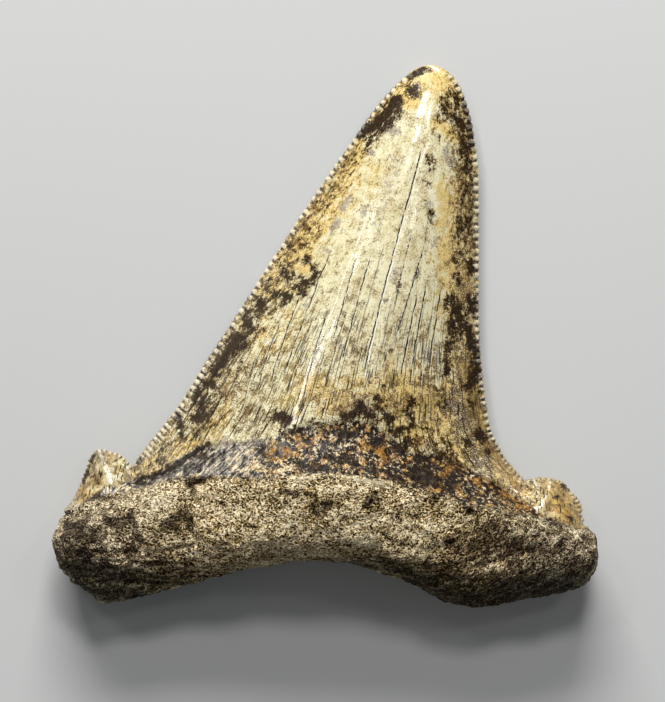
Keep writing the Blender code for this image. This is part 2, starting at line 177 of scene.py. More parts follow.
stains = {
    "dark": [
        (0.32, 16, [(345, 408), (372, 404), (400, 412)]), (0.31, 14, [(366, 142), (335, 185), (306, 232)]),
        (0.36, 14, [(300, 240), (275, 275), (256, 308)]), (0.35, 10, [(372, 418), (388, 412), (396, 420)]),
        (0.5, 18, [(420, 440), (440, 452), (450, 470)]), (0.45, 14, [(462, 130), (468, 190), (466, 240)]),
        (0.45, 18, [(210, 395), (190, 425)]), (0.4, 14, [(270, 300), (240, 345)]),
        (1, 4, [(424, 68), (417, 72), (411, 76)]), (0.6, 3, [(430, 69)]), (0.7, 2.5, [(407, 84), (402, 87)]),
        (1, 8, [(414, 90)]), (0.5, 4, [(420, 86)]),
        (1, 7, [(396, 100), (391, 107), (385, 115), (376, 123), (367, 129), (361, 133)]),
        (0.8, 5, [(398, 111), (393, 118), (388, 125), (380, 131), (374, 136)]),
        (0.75, 4, [(370, 140), (367, 147)]), (0.7, 3, [(348, 158)]),
        (0.62, 7, [(450, 92), (446, 100), (444, 110), (441, 118)]), (0.75, 5, [(456, 92), (458, 104)]),
        (0.85, 7, [(455, 116), (462, 124)]), (1, 5, [(466, 100), (470, 116), (472, 130), (471, 145)]),
        (0.8, 4, [(462, 130), (464, 142)]), (0.8, 5, [(463, 150), (468, 160), (468, 172)]),
        (0.62, 4, [(472, 185), (470, 200)]), (0.6, 6, [(460, 222), (467, 224)]),
        (0.6, 5, [(458, 236), (465, 240)]), (0.65, 5, [(462, 252), (455, 262)]),
        (0.95, 5, [(471, 262), (472, 270)]), (0.7, 4, [(458, 275), (460, 282)]),
        (0.9, 6, [(472, 300), (474, 312)]),
        (0.85, 8, [(452, 300), (456, 312), (461, 318), (466, 326), (470, 338), (474, 345)]),
        (0.85, 6, [(450, 322), (455, 335)]), (0.9, 5, [(462, 308)]), (0.6, 5, [(449, 340), (448, 350)]),
        (0.75, 5, [(447, 362), (447, 370)]), (1, 7, [(479, 352), (478, 365), (475, 378), (470, 385)]),
        (0.9, 3, [(479, 392)]), (0.5, 3, [(436, 130), (438, 138)]),
        (0.5, 5, [(428, 158), (431, 164), (430, 168)]), (0.4, 4, [(425, 182), (430, 186)]),
        (0.5, 3, [(431, 212), (430, 224)]), (0.55, 2.5, [(416, 270), (415, 278)]),
        (0.5, 2.5, [(399, 284), (397, 292)]), (0.6, 5, [(333, 186), (330, 190)]), (0.5, 4, [(325, 205)]),
        (1, 4.5, [(306, 260)]), (0.95, 4, [(314, 268), (316, 275), (312, 282)]),
        (0.75, 6, [(283, 272), (290, 276)]), (0.85, 4, [(300, 278), (306, 284)]),
        (0.85, 5, [(300, 288), (304, 294)]), (0.8, 3, [(293, 288)]),
        (0.85, 5, [(275, 293), (284, 296), (290, 298)]), (0.9, 4, [(284, 304)]), (0.65, 4, [(268, 290)]),
        (0.95, 6, [(260, 300), (261, 309)]), (0.8, 4, [(247, 312), (244, 318)]),
        (0.9, 7, [(250, 322), (249, 328)]), (0.95, 6, [(244, 338), (243, 345)]),
        (1, 8, [(238, 338), (231, 346), (225, 356)]), (0.95, 6, [(222, 362), (214, 372)]),
        (0.9, 6, [(205, 384), (212, 386)]), (0.9, 5, [(198, 390), (196, 402)]),
        (0.85, 8, [(205, 402), (204, 412), (199, 420)]), (0.95, 5, [(178, 418), (181, 426)]),
        (0.9, 5, [(181, 434)]), (0.65, 3, [(195, 430), (196, 436)]), (0.4, 6, [(213, 425)]),
        (0.62, 4.5, [(166, 446), (163, 448)]), (0.75, 3.5, [(158, 462), (163, 460)]), (0.95, 4, [(139, 462)]),
        (0.55, 4, [(240, 362), (242, 370)]), (0.55, 2.5, [(229, 368)]),
        (0.85, 6, [(276, 414), (284, 416), (288, 420)]), (0.75, 6, [(290, 426), (296, 430)]),
        (0.5, 4, [(312, 420), (325, 424), (335, 420)]), (0.8, 4, [(283, 432)]),
        (0.8, 6, [(345, 417), (355, 412), (360, 404), (366, 411), (372, 415)]),
        (0.85, 4, [(374, 404), (384, 412), (392, 418)]), (0.9, 3.5, [(375, 398), (381, 400)]),
        (1, 4, [(386, 417)]), (0.9, 1.8, [(382, 407)]), (0.75, 3, [(382, 386)]), (0.6, 3, [(391, 352)]),
        (0.85, 6, [(390, 425), (394, 432), (400, 430)]), (0.85, 5, [(405, 445), (408, 438)]),
        (0.75, 6, [(412, 402), (408, 412), (410, 425)]), (0.55, 6, [(436, 392), (440, 398)]),
        (0.8, 2, [(445, 400)]), (0.5, 4, [(445, 406)]), (0.75, 3.5, [(472, 407), (470, 402)]),
        (0.95, 6, [(483, 439), (480, 434)]), (0.8, 4, [(489, 452)]), (0.85, 6, [(469, 445), (466, 440)]),
        (0.65, 4, [(441, 450)]), (1, 8, [(416, 472), (422, 470), (424, 478)]),
        (0.95, 5, [(436, 478), (434, 482)]), (0.75, 7, [(450, 484), (446, 488)]),
        (0.85, 5, [(418, 456), (424, 460)]), (0.95, 4.5, [(458, 470)]), (0.9, 6, [(340, 432), (352, 434)]),
        (0.9, 6, [(372, 442), (380, 440)]), (0.85, 5, [(395, 445), (402, 450)]),
        (0.9, 6, [(300, 464), (314, 466), (328, 466)]), (0.85, 5, [(345, 455), (355, 460), (352, 468)]),
        (0.95, 6, [(368, 467), (376, 470)]), (0.95, 5, [(388, 476), (398, 478)]),
        (0.8, 5, [(330, 455), (340, 460)]), (0.75, 5, [(262, 448), (266, 455)]),
        (0.9, 4, [(196, 455), (206, 455)]),
        (0.95, 4, [(140, 478), (152, 476), (165, 471), (176, 465), (186, 458), (196, 452), (210, 444)]),
        (0.85, 4, [(137, 484), (150, 484)]), (0.95, 3.5, [(92, 457), (87, 466), (86, 474), (82, 482)]),
        (0.5, 3, [(95, 476), (100, 483)]), (0.7, 3, [(88, 499), (94, 497), (104, 494)]),
        (0.75, 2.5, [(562, 484), (567, 490)]), (0.6, 2.2, [(552, 497), (557, 496)]),
        (0.45, 2.5, [(558, 510), (570, 518)]),
    ],
    "ochre": [
        (0.8, 16, [(398, 424), (416, 436)]), (0.28, 30, [(385, 165), (365, 205), (345, 235)]),
        (0.35, 14, [(440, 185), (445, 240), (448, 290)]), (0.4, 22, [(300, 300), (275, 350)]),
        (0.6, 28, [(300, 394), (340, 394), (380, 390)]), (0.8, 6, [(404, 99), (412, 104), (420, 100)]),
        (0.6, 7, [(445, 82), (450, 90)]),
        (0.66, 22, [(356, 158), (344, 180), (330, 202), (318, 222), (306, 242)]),
        (0.9, 8, [(438, 124), (448, 130), (454, 138)]), (0.7, 14, [(292, 252), (278, 272), (268, 290)]),
        (0.8, 26, [(405, 390), (425, 405), (440, 425)]), (0.25, 16, [(236, 392), (222, 414), (205, 432)]),
        (0.7, 6, [(306, 270)]), (0.5, 6, [(345, 215), (352, 207)]), (0.6, 8, [(265, 322), (262, 335)]),
        (0.85, 8, [(190, 444), (175, 452), (155, 465), (140, 472)]),
        (0.9, 11, [(330, 400), (345, 398), (320, 410)]), (0.85, 7, [(300, 412)]),
        (0.9, 8, [(445, 255), (447, 265), (452, 272)]), (0.9, 8, [(463, 285), (460, 295)]),
        (0.95, 12, [(470, 345), (465, 365), (470, 395), (480, 415), (488, 440), (495, 460)]),
        (0.85, 11, [(445, 390), (450, 430), (460, 455)]), (0.8, 9, [(425, 425)]),
        (0.65, 8, [(462, 205), (457, 190), (462, 175)]), (0.65, 8, [(440, 125), (447, 132)]),
        (0.5, 8, [(440, 225), (445, 215)]), (0.6, 9, [(400, 80), (385, 100), (375, 115)]),
        (0.5, 12, [(370, 380), (395, 385)]), (0.7, 8, [(84, 490), (90, 494), (82, 498)]),
        (0.5, 5, [(118, 470), (122, 462)]), (0.9, 12, [(556, 488), (566, 500), (574, 514)]),
        (0.5, 8, [(512, 478), (524, 490)]), (0.6, 5, [(512, 470), (518, 480)]),
        (0.5, 7, [(230, 400), (222, 440)]),
    ],
    "orange": [
        (1, 5, [(415, 437), (420, 442)]), (0.45, 6, [(425, 452), (440, 455)]),
        (0.95, 5, [(378, 448), (384, 452)]), (0.8, 7, [(276, 448), (288, 450)]),
        (0.5, 7, [(300, 440), (310, 445)]), (0.9, 4, [(437, 488)]), (0.45, 9, [(445, 470), (455, 462)]),
        (0.55, 6, [(492, 484), (512, 497), (530, 507)]), (0.6, 5, [(478, 480)]),
        (0.5, 7, [(408, 115), (404, 112)]), (0.5, 6, [(446, 105)]), (0.6, 4, [(369, 430)]),
        (0.6, 4, [(404, 466)]), (0.5, 5, [(340, 178), (350, 165)]), (0.6, 4, [(100, 482)]),
        (0.7, 4, [(545, 505), (570, 515)]),
    ],
    "grey": [
        (0.4, 14, [(395, 160), (385, 195), (375, 225)]), (0.8, 7, [(392, 126), (384, 129), (396, 132)]),
        (0.75, 5, [(372, 153), (366, 152)]), (0.75, 7, [(342, 208), (349, 200)]),
        (0.75, 6, [(337, 222), (334, 228)]), (0.7, 4, [(332, 234)]), (0.7, 4, [(341, 233)]),
        (0.75, 6, [(366, 208), (364, 214)]), (0.6, 4, [(326, 250), (330, 252)]),
        (0.7, 9, [(283, 272), (288, 280)]), (0.7, 6, [(428, 205), (432, 215)]),
        (0.6, 6, [(432, 245), (437, 238)]), (0.75, 7, [(446, 152), (452, 164)]),
        (0.6, 6, [(396, 272), (393, 280)]), (0.6, 5, [(430, 282)]), (0.6, 3.5, [(296, 328)]),
        (0.6, 4, [(264, 360), (270, 362)]), (0.6, 6, [(240, 372)]), (0.6, 8, [(340, 345), (345, 352)]),
        (0.55, 5, [(385, 345)]), (0.5, 4, [(398, 325)]), (0.9, 10, [(225, 443), (235, 450), (228, 458)]),
        (0.7, 6, [(250, 443), (258, 440)]), (0.7, 7, [(200, 466), (190, 470)]),
        (0.6, 6, [(438, 345), (435, 370)]), (0.5, 6, [(425, 350), (422, 365)]),
        (0.6, 6, [(310, 300), (306, 306)]), (0.5, 6, [(448, 146), (455, 150)]), (0.6, 5, [(385, 300)]),
    ],
    "pale": [
        (0.7, 6, [(99, 452), (104, 464), (114, 479)]), (0.35, 8, [(112, 458), (124, 466), (134, 472)]),
        (0.5, 7, [(112, 480), (126, 474), (142, 470)]), (0.5, 4, [(523, 483), (530, 480)]),
        (0.55, 3, [(572, 494), (577, 502), (579, 511)]), (0.7, 3.5, [(73, 507), (79, 505), (86, 503)]),
        (0.8, 1.8, [(133, 481), (150, 474), (168, 465), (182, 456), (196, 449)]),
        (0.6, 1.6, [(186, 462), (202, 452), (216, 444)]), (0.7, 2.5, [(484, 474), (503, 488), (524, 503)]),
        (0.6, 2.5, [(506, 482), (524, 497), (538, 508)]), (0.5, 3, [(322, 421), (345, 417), (362, 418)]),
        # painted highlight: the two strokes on the next line put the gloss's bright spot and streak near the
        # tip into the colour
        (0.55, 13, [(427, 106), (424, 115)]), (0.4, 6, [(419, 122), (411, 146), (402, 184)]),
        (1, 5, [(431, 66), (438, 70)]),
        # painted highlight along the crown's ridge
        (0.35, 14, [(395, 150), (385, 190), (370, 240), (345, 290), (320, 330)]),
        # painted glints: the last stroke on this line and both strokes on the next lie on the bourlette
        (0.6, 12, [(430, 190), (436, 205)]), (0.9, 4, [(232, 463), (238, 468), (246, 468)]),
        (0.9, 5, [(283, 469)]), (0.7, 5, [(255, 464), (262, 463)]),
        (0.8, 5, [(100, 455), (107, 470), (112, 482)]), (0.6, 6, [(118, 460), (128, 468)]),
        (0.85, 2.6, [(550, 482), (546, 493), (541, 503)]), (0.85, 2.6, [(534, 480), (538, 492), (540, 504)]),
        (0.8, 4, [(120, 489), (130, 487)]), (0.7, 6, [(265, 343), (275, 340)]),
        (0.5, 10, [(405, 340), (395, 375)]),
    ],
    "speckle": [
        (0.5, 22, [(330, 180), (305, 225), (285, 262)]),
        (0.8, 22, [(275, 280), (262, 300), (240, 340), (215, 380)]),
        (0.85, 26, [(250, 380), (235, 410), (260, 430)]), (0.7, 26, [(285, 330), (262, 380)]),
        (0.9, 18, [(455, 100), (462, 150), (464, 200), (462, 260), (458, 330), (462, 380)]),
        (0.8, 30, [(330, 400), (380, 400), (420, 395)]), (0.9, 30, [(450, 400), (470, 430), (480, 460)]),
        (0.5, 14, [(425, 125), (428, 185), (415, 215)]), (0.7, 10, [(310, 240), (320, 245)]),
        (0.4, 14, [(350, 330), (360, 350)]), (0.7, 12, [(400, 118), (420, 125)]),
        (0.6, 10, [(180, 440), (160, 455)]),
    ],
    "rootDark": [
        (0.45, 50, [(85, 535), (100, 560)]), (0.35, 60, [(470, 520), (560, 540)]),
        # painted shade: the stroke from (410, 578) here and the one from (480, 580) below darken the root's
        # bottom edge where it turns under
        (0.3, 50, [(95, 550), (140, 560)]), (0.75, 16, [(410, 578), (440, 590), (480, 596)]),
        (0.6, 30, [(480, 580), (560, 582)]), (0.45, 14, [(330, 556), (380, 560), (420, 568)]),
        (0.3, 30, [(90, 530), (120, 540)]), (0.45, 60, [(500, 540), (570, 560)]),
        (0.3, 40, [(80, 525), (110, 540)]), (0.85, 11, [(70, 525), (90, 530), (98, 534)]),
        (0.65, 9, [(110, 515), (125, 522)]), (0.85, 7, [(135, 515), (140, 530), (147, 538)]),
        (0.95, 8, [(168, 522), (180, 515), (190, 512), (195, 525)]), (0.9, 6, [(180, 527)]),
        (0.6, 4, [(205, 510)]), (0.7, 5, [(285, 488), (298, 492)]), (0.7, 4, [(288, 499)]),
        (0.6, 8, [(315, 505), (322, 516), (328, 500)]), (0.55, 7, [(275, 528), (270, 535)]),
        (0.6, 7, [(372, 492), (366, 500)]), (0.8, 7, [(428, 555), (425, 561)]),
        (0.7, 8, [(395, 555), (385, 557)]), (0.65, 9, [(445, 535), (455, 545)]),
        (0.8, 8, [(480, 535), (468, 541)]), (0.6, 9, [(500, 555), (508, 560)]), (1, 4.5, [(468, 508)]),
        # the lower left of the root darker, partly its own colour and partly painted shade where it turns
        # under
        (0.4, 12, [(80, 570), (120, 560)]), (0.5, 14, [(80, 585), (140, 592)]),
        # painted shade: the first stroke on this line and the one from (450, 575) below darken the bottom
        # edge
        (0.7, 14, [(440, 590), (500, 598), (560, 590)]), (0.5, 20, [(500, 530), (560, 560)]),
        (0.8, 5, [(88, 557)]), (0.5, 16, [(450, 575), (550, 580)]), (0.7, 6, [(195, 487), (190, 480)]),
        (0.8, 5, [(190, 478), (205, 478)]),
    ],
    "rootLight": [
        (0.85, 11, [(155, 505), (166, 500), (148, 516)]), (0.7, 6, [(60, 520), (60, 533)]),
        (0.6, 7, [(75, 514), (95, 505)]), (0.4, 16, [(225, 492), (262, 505)]),
        (1, 4, [(355, 476), (370, 478), (380, 481)]), (0.8, 4, [(298, 475), (315, 473), (332, 474)]),
        (0.6, 9, [(340, 512), (350, 504)]), (0.6, 5, [(150, 532)]), (0.6, 5, [(170, 534)]),
        (0.6, 5, [(490, 563), (500, 563)]), (0.55, 5, [(523, 554)]), (0.55, 5, [(565, 542)]),
        (1, 4, [(527, 513), (535, 517), (543, 515)]),
        (1, 3.5, [(563, 526), (573, 531), (580, 531), (587, 527)]), (0.5, 7, [(118, 557), (128, 556)]),
        (0.7, 3, [(139, 562)]), (0.5, 14, [(200, 520), (240, 530), (300, 545)]),
        (0.45, 14, [(380, 520), (430, 530)]), (0.4, 12, [(420, 510), (440, 525)]),
        (0.35, 30, [(260, 535), (340, 535), (390, 545)]),
    ],
    "umber": [
        (1.1, 5.5, [(335, 183), (340, 188)]), (1.1, 5.5, [(324, 172)]), (1.1, 6.5, [(312, 203), (318, 210)]),
        (1.1, 5.5, [(343, 158), (348, 162)]), (1.1, 5.5, [(303, 222), (308, 228)]), (1.1, 5.5, [(327, 195)]),
        (1.1, 5.5, [(296, 240), (300, 246)]), (1.1, 5.5, [(318, 190)]), (0.7, 5, [(290, 255)]),
        (0.6, 8, [(345, 330), (352, 345)]), (0.6, 7, [(385, 325), (388, 340)]),
        (0.5, 8, [(420, 335), (424, 352)]), (0.5, 7, [(318, 345), (314, 360)]),
        (0.55, 16, [(398, 424), (418, 440)]), (0.9, 34, [(470, 370), (480, 410), (495, 445), (515, 475)]),
        (0.6, 22, [(462, 170), (468, 240), (466, 300)]), (0.65, 24, [(345, 410), (400, 404), (440, 398)]),
        (0.22, 22, [(262, 330), (230, 385), (205, 430)]), (0.85, 9, [(556, 486), (560, 500), (567, 513)]),
        (0.6, 7, [(565, 485), (569, 493)]), (0.8, 7, [(93, 467), (99, 480), (104, 485)]),
        (0.6, 9, [(508, 484), (522, 497), (536, 506)]), (0.5, 14, [(505, 478), (522, 492)]),
        (0.6, 10, [(88, 462), (86, 478), (84, 494)]), (0.4, 8, [(98, 478), (106, 488)]),
        (0.4, 10, [(335, 170), (315, 200)]), (0.6, 20, [(405, 396), (430, 408)]),
        (0.7, 12, [(445, 100), (456, 122)]), (0.5, 10, [(398, 108), (404, 116)]),
        (0.6, 20, [(440, 460), (470, 470), (500, 490)]),
    ],
}  # fmt: skip

# how much wider than its strokes each kind of mark spreads
stainSpread = {"dark": 1.9, "ochre": 1.5, "orange": 1.4, "grey": 1.5, "rootDark": 1.3, "rootLight": 1.3}

# cracks that run with the growth of the crown: (across at the top, y, across at the bottom, y, strength)
# across goes from -1 at the left cutting edge to 1 at the right
growthCracks = [
    (-0.64, -3.7, -0.56, -11.7, 0.6), (-0.60, 1.7, -0.53, -7.5, 0.7), (-0.545, 5.9, -0.458, -6.8, 0.8),
    (-0.457, 12.0, -0.381, -6.0, 0.8), (-0.35, 2.0, -0.32, -9.0, 0.6), (-0.25, 3.0, -0.205, -9.0, 0.8),
    (-0.183, 11.4, -0.125, 0.2, 0.8), (-0.10, 3.5, -0.075, -7.0, 0.6), (-0.055, 11.4, -0.01, -3.4, 0.85),
    (0.04, 13.0, 0.06, -1.0, 0.45), (0.15, 27.7, 0.165, -5.0, 1.0), (0.25, 3.5, 0.262, -2.0, 0.45),
    (0.278, 15.6, 0.282, 4.0, 0.75), (0.452, 14.8, 0.347, 0.2, 1.0), (0.455, 5.5, 0.424, -5.5, 1.0),
    (0.52, 7.1, 0.49, -6.5, 0.9), (0.56, -1.5, 0.566, -7.0, 0.8), (0.60, 3.0, 0.58, -3.0, 0.6),
    (0.655, 6.3, 0.614, -6.0, 0.9), (0.71, 2.0, 0.69, -7.0, 0.5),
]  # fmt: skip
crackRoom = {"least": 0.018, "beyond": 0.08}  # across, between neighbours and outside the first and the last
# the crack that a painted highlight runs beside, and the heights where it starts and ends
whiteSeam = {"crack": 10, "top": 20.0, "bottom": -4.0}

# relief carved (-) or raised (+) along such strokes: (height in millimetres, width in pixels, [points])
reliefLines = [
    (-0.16, 17, [(428, 103), (424, 114)]),
    (-0.45, 4.5, [(135, 488), (150, 480), (165, 473), (180, 463), (205, 452), (217, 446)]),
    (0.3, 4, [(130, 481), (150, 473), (168, 466), (178, 459)]),
    (0.28, 5, [(222, 449), (210, 456), (198, 466)]), (0.35, 5, [(478, 474), (498, 492), (518, 506)]),
    (0.32, 4, [(490, 479), (512, 489), (536, 507)]), (-0.35, 4, [(484, 478), (505, 493), (526, 508)]),
    (-0.3, 5, [(470, 478), (490, 498), (510, 511)]), (0.45, 5, [(99, 453), (106, 468), (113, 483)]),
    (-0.35, 6, [(88, 463), (93, 474), (99, 485)]), (-0.25, 5, [(118, 463), (124, 475), (125, 486)]),
    (0.3, 6, [(120, 455), (132, 466)]), (0.3, 5, [(529, 479), (536, 492), (541, 506)]),
    (0.3, 5, [(551, 480), (546, 492), (541, 506)]), (-0.35, 6, [(540, 482), (541, 492)]),
    (-0.3, 6, [(556, 488), (552, 500), (548, 510)]), (0.35, 4, [(572, 491), (577, 500), (582, 510)]),
    (-0.35, 4, [(98, 549), (130, 549), (165, 548), (202, 541)]),
    (0.3, 7, [(200, 560), (228, 556), (256, 551)]),
    (0.4, 4, [(556, 522), (566, 529), (578, 532), (588, 527)]), (-0.9, 5, [(467, 508), (469, 510)]),
    (-0.35, 5, [(300, 470), (318, 469), (334, 470)]), (0.3, 4, [(298, 476), (315, 474), (333, 475)]),
    (0.35, 5, [(352, 475), (368, 477), (382, 481)]), (-0.4, 5, [(345, 468), (362, 471), (380, 475)]),
    (-0.5, 6, [(413, 475), (424, 478), (436, 486)]), (-0.35, 6, [(441, 482), (452, 487), (458, 491)]),
    (0.3, 5, [(453, 468), (457, 478), (458, 489)]), (-0.35, 5, [(385, 474), (402, 476)]),
    (-0.35, 5, [(190, 482), (205, 479), (222, 477)]), (-0.3, 8, [(265, 478), (285, 480)]),
    (0.35, 9, [(60, 516), (72, 509), (86, 503)]), (-0.3, 5, [(60, 524), (75, 516), (95, 509), (110, 504)]),
    (-0.35, 6, [(160, 560), (200, 572), (240, 566)]), (-0.3, 6, [(420, 548), (450, 540), (480, 528)]),
    (0.3, 6, [(430, 560), (465, 552), (500, 540)]), (-0.3, 6, [(470, 565), (510, 552), (550, 540)]),
]  # fmt: skip


# the mesh
toothMesh = {
    "mergeDistance": 1e-6,  # metres
    "subdivisions": 2,
    "crownSmoothing": 10,
    "rootLumps": [(4.5, 1.0), (1.9, 0.6), (0.8, 0.32)],  # size, height
    "strata": {"height": 0.42, "along": 0.16, "through": 0.95, "down": 0.5},
    "wrinkles": {"height": 0.16, "across": 1.1, "upright": 0.25},
    "ripple": {"height": 0.07, "across": 14, "along": 0.07},
    "bourletteLumps": [(1.6, 0.22)],
    "highest": 20.55,
    "weightLevels": 20, "creaseReach": 0.4, "vertexCrease": 0.45, "smoothAngle": 50,  # the angle in degrees
}  # fmt: skip


def copySolid(name):
    bpy.ops.object.select_all(action="DESELECT")
    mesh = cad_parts["tooth"].data.copy()
    mesh.materials.clear()
    piece = bpy.data.objects.new(name, mesh)
    bpy.context.scene.collection.objects.link(piece)
    piece.select_set(True)
    bpy.context.view_layer.objects.active = piece
    bpy.ops.mesh.customdata_custom_splitnormals_clear()
    bpy.ops.object.mode_set(mode="EDIT")
    bpy.ops.mesh.select_all(action="SELECT")
    bpy.ops.mesh.remove_doubles(threshold=toothMesh["mergeDistance"])
    bpy.ops.object.mode_set(mode="OBJECT")
    return piece


def readVertices(piece):
    count = len(piece.data.vertices)
    co, no = np.zeros(count * 3), np.zeros(count * 3)
    piece.data.vertices.foreach_get("co", co)
    piece.data.vertex_normals.foreach_get("vector", no)
    return co.reshape(-1, 3) / metre, no.reshape(-1, 3)


def writeVertices(piece, co):
    piece.data.vertices.foreach_set("co", (co * metre).ravel())
    piece.data.update()


def weightGroup(piece, name, weights):
    group = piece.vertex_groups.new(name=name)
    steps = toothMesh["weightLevels"]
    levels = np.round(np.clip(weights, 0, 1) * steps).astype(int)
    for level in range(1, steps + 1):
        chosen = np.nonzero(levels == level)[0]
        if len(chosen):
            group.add(chosen.tolist(), level / steps, "REPLACE")
    return group


def applyModifier(piece, kind, **settings):
    modifier = piece.modifiers.new(kind.title(), kind)
    for key, value in settings.items():
        setattr(modifier, key, value)
    bpy.ops.object.modifier_apply(modifier=modifier.name)


def selectFaces(piece, chosen):
    piece.data.polygons.foreach_set("select", chosen)
    piece.data.edges.foreach_set("select", np.zeros(len(piece.data.edges), bool))
    piece.data.vertices.foreach_set("select", np.zeros(len(piece.data.vertices), bool))
    bpy.ops.object.mode_set(mode="EDIT")
    bpy.ops.mesh.select_mode(type="FACE")


def refine(piece):
    # the root gets a finer mesh before the whole is subdivided, and the cutting edges keep their serrations
    count = len(piece.data.polygons)
    centres, normals = np.zeros(count * 3), np.zeros(count * 3)
    piece.data.polygons.foreach_get("center", centres)
    piece.data.polygons.foreach_get("normal", normals)
    centres, normals = centres.reshape(-1, 3) / metre, normals.reshape(-1, 3)
    onRoot = (aboveLine(toothLines["rootTop"], centres[:, :2]) < 0.6) & (normals[:, 2] > -0.1)
    selectFaces(piece, onRoot)
    bpy.ops.mesh.subdivide(number_cuts=1, smoothness=0.0)
    bpy.ops.mesh.select_all(action="SELECT")
    bpy.ops.mesh.quads_convert_to_tris()
    bpy.ops.mesh.tris_convert_to_quads(face_threshold=math.radians(60), shape_threshold=math.radians(60))
    bpy.ops.object.mode_set(mode="OBJECT")

    co, _ = readVertices(piece)
    gap, _ = cuttingEdge(co[:, :2])
    mesh = piece.data
    edgeUp, edgeDown = np.zeros(len(mesh.edges), bool), np.zeros(len(mesh.edges), bool)
    keys = {tuple(sorted(e.vertices)): e.index for e in mesh.edges}
    for polygon in mesh.polygons:
        side = edgeUp if polygon.normal.z > 0 else edgeDown
        for key in polygon.edge_keys:
            side[keys[tuple(sorted(key))]] = True
    crease = mesh.attributes.new("crease_vert", "FLOAT", "POINT")
    edgeCrease = mesh.attributes.new("crease_edge", "FLOAT", "EDGE")
    sharp = np.zeros(len(co))
    reach = toothMesh["creaseReach"]
    for edge in mesh.edges:
        if edgeUp[edge.index] and edgeDown[edge.index] and max(gap[v] for v in edge.vertices) < reach:
            edgeCrease.data[edge.index].value = 1.0
            sharp[list(edge.vertices)] = toothMesh["vertexCrease"]
    crease.data.foreach_set("value", sharp.astype(np.float32))
    applyModifier(piece, "SUBSURF", levels=toothMesh["subdivisions"], render_levels=toothMesh["subdivisions"])
    for name in ("crease_vert", "crease_edge"):
        if name in mesh.attributes:
            mesh.attributes.remove(mesh.attributes[name])
    print("subdivided:", len(mesh.vertices), "vertices")


def measure(co, no):
    # everything the relief and the material need to know about where a point is
    p = co[:, :2]
    middle, half = crownHalves(p)
    gap, count = cuttingEdge(p)
    upper = smoothstep(-0.15, 0.15, no[:, 2])
    low = (1 - smoothstep(-14, 6, p[:, 1])) * smoothstep(-32.0, -30.0, p[:, 0]) * (p[:, 0] < 0)
    short = smoothstep(31.0, 32.5, np.abs(p[:, 0]))
    drift = np.array([noise.noise(Vector((c * 0.45, 9.0, 0.0))) for c in count])
    ease = np.array([noise.noise(Vector((c * 0.83, 5.0, 0.0))) for c in count])
    change = serrations["reachChange"]
    facesUp = no[:, 2] > 0
    enamelEnds = [aboveLine(toothLines[name], p) for name in ("enamelEnd", "enamelEndBelow")]
    rise = np.where(facesUp, *enamelEnds)
    drop = np.where(facesUp, -aboveLine(toothLines["rootTop"], p), -rise)
    return {
        "p": p, "z": co[:, 2], "half": half, "middle": middle,
        "across": np.clip((p[:, 0] - middle) / half, -1.6, 1.6),
        "gap": gap, "beadGap": gap * (1 + change * short) / (1 + change * low), "upper": upper,
        "count": count + serrations["unevenCount"] * drift, "ease": 0.5 + ease, "rise": rise, "drop": drop,
        "ledge": smoothstep(-0.6, 1.8, -aboveLine(toothLines["rootLedge"], p)),
    }  # fmt: skip


def displace(piece, size, height, group, kind="CLOUDS", **settings):
    texture = bpy.data.textures.new(f"{group}{size}", kind)
    texture.noise_scale = size * metre
    for key, value in settings.items():
        setattr(texture, key, value)
    applyModifier(
        piece, "DISPLACE", texture=texture, strength=height * metre, mid_level=0.5, vertex_group=group,
        texture_coords="LOCAL",
    )  # fmt: skip


def layered(places, fade, octaves):
    # a noise of several sizes, each twice as fine as the one before
    return np.array([noise.fractal(Vector(place), fade, 2.0, octaves) for place in places])


def carve(piece):
    co, no = readVertices(piece)
    at = measure(co, no)
    p = at["p"]
    move = np.zeros(len(co))
    for height, width, points in onTooth(reliefLines):
        move += height * strokeField(p, [(1.0, width, points)]) * at["upper"]

    # serrations: a rounded bead behind each point of the edge and a notch between beads, worn away at the tip
    fade = smoothstep(0, serrations["wornTip"], tipY - p[:, 1]) * smoothstep(0.1, 0.5, no[:, 2])
    wave = smoothstep(-0.95, 0.1, np.cos(2 * np.pi * at["count"]))
    bead = wave * serrations["beadHeight"] - serrations["gapDepth"]
    reach = (1 - smoothstep(0.35, serrations["beadLength"], at["beadGap"])) * (at["rise"] > -0.5)
    lift = bead * reach * fade * (0.35 + 1.1 * at["ease"]) * (0.4 + 0.6 * smoothstep(-22, -17, p[:, 1]))

    # layers that run along the root below its ledge
    strata = toothMesh["strata"]
    sizes = (strata["along"], strata["through"], strata["down"])
    layers = layered([(x * sizes[0], y * sizes[1], z * sizes[2]) for x, y, z in co], 0.9, 4)
    move += strata["height"] * layers * at["ledge"] * smoothstep(-0.5, 0.2, no[:, 2])

    # upright wrinkles in the bourlette
    wrinkles = toothMesh["wrinkles"]
    folds = layered([(x * wrinkles["across"], y * wrinkles["upright"], 7.0) for x, y in p], 0.9, 3)
    folds = wrinkles["height"] * folds * smoothstep(0, 0.8, -at["rise"]) * smoothstep(0, 0.6, -at["drop"])
    move += folds * at["upper"]

    # shallow lengthwise waves that the enamel kept from its growth
    ripple = toothMesh["ripple"]
    places = zip(at["across"] * ripple["across"], p[:, 1] * ripple["along"])
    waves = layered([(u, y, 3.0) for u, y in places], 0.8, 3)
    move += ripple["height"] * waves * smoothstep(0, 1.5, at["rise"]) * smoothstep(1, 4, at["gap"])
    co += no * move[:, None]
    co[:, 2] += lift
    co[:, 2] = np.clip(co[:, 2], 0, toothMesh["highest"])
    writeVertices(piece, co)


def writeAttribute(piece, name, *columns):
    kind = "FLOAT_VECTOR" if len(columns) == 3 else "FLOAT"
    layer = piece.data.attributes.new(name, kind, "POINT")
    values = np.stack(columns, axis=1) if len(columns) == 3 else columns[0]
    layer.data.foreach_set("vector" if len(columns) == 3 else "value", values.astype(np.float32).ravel())


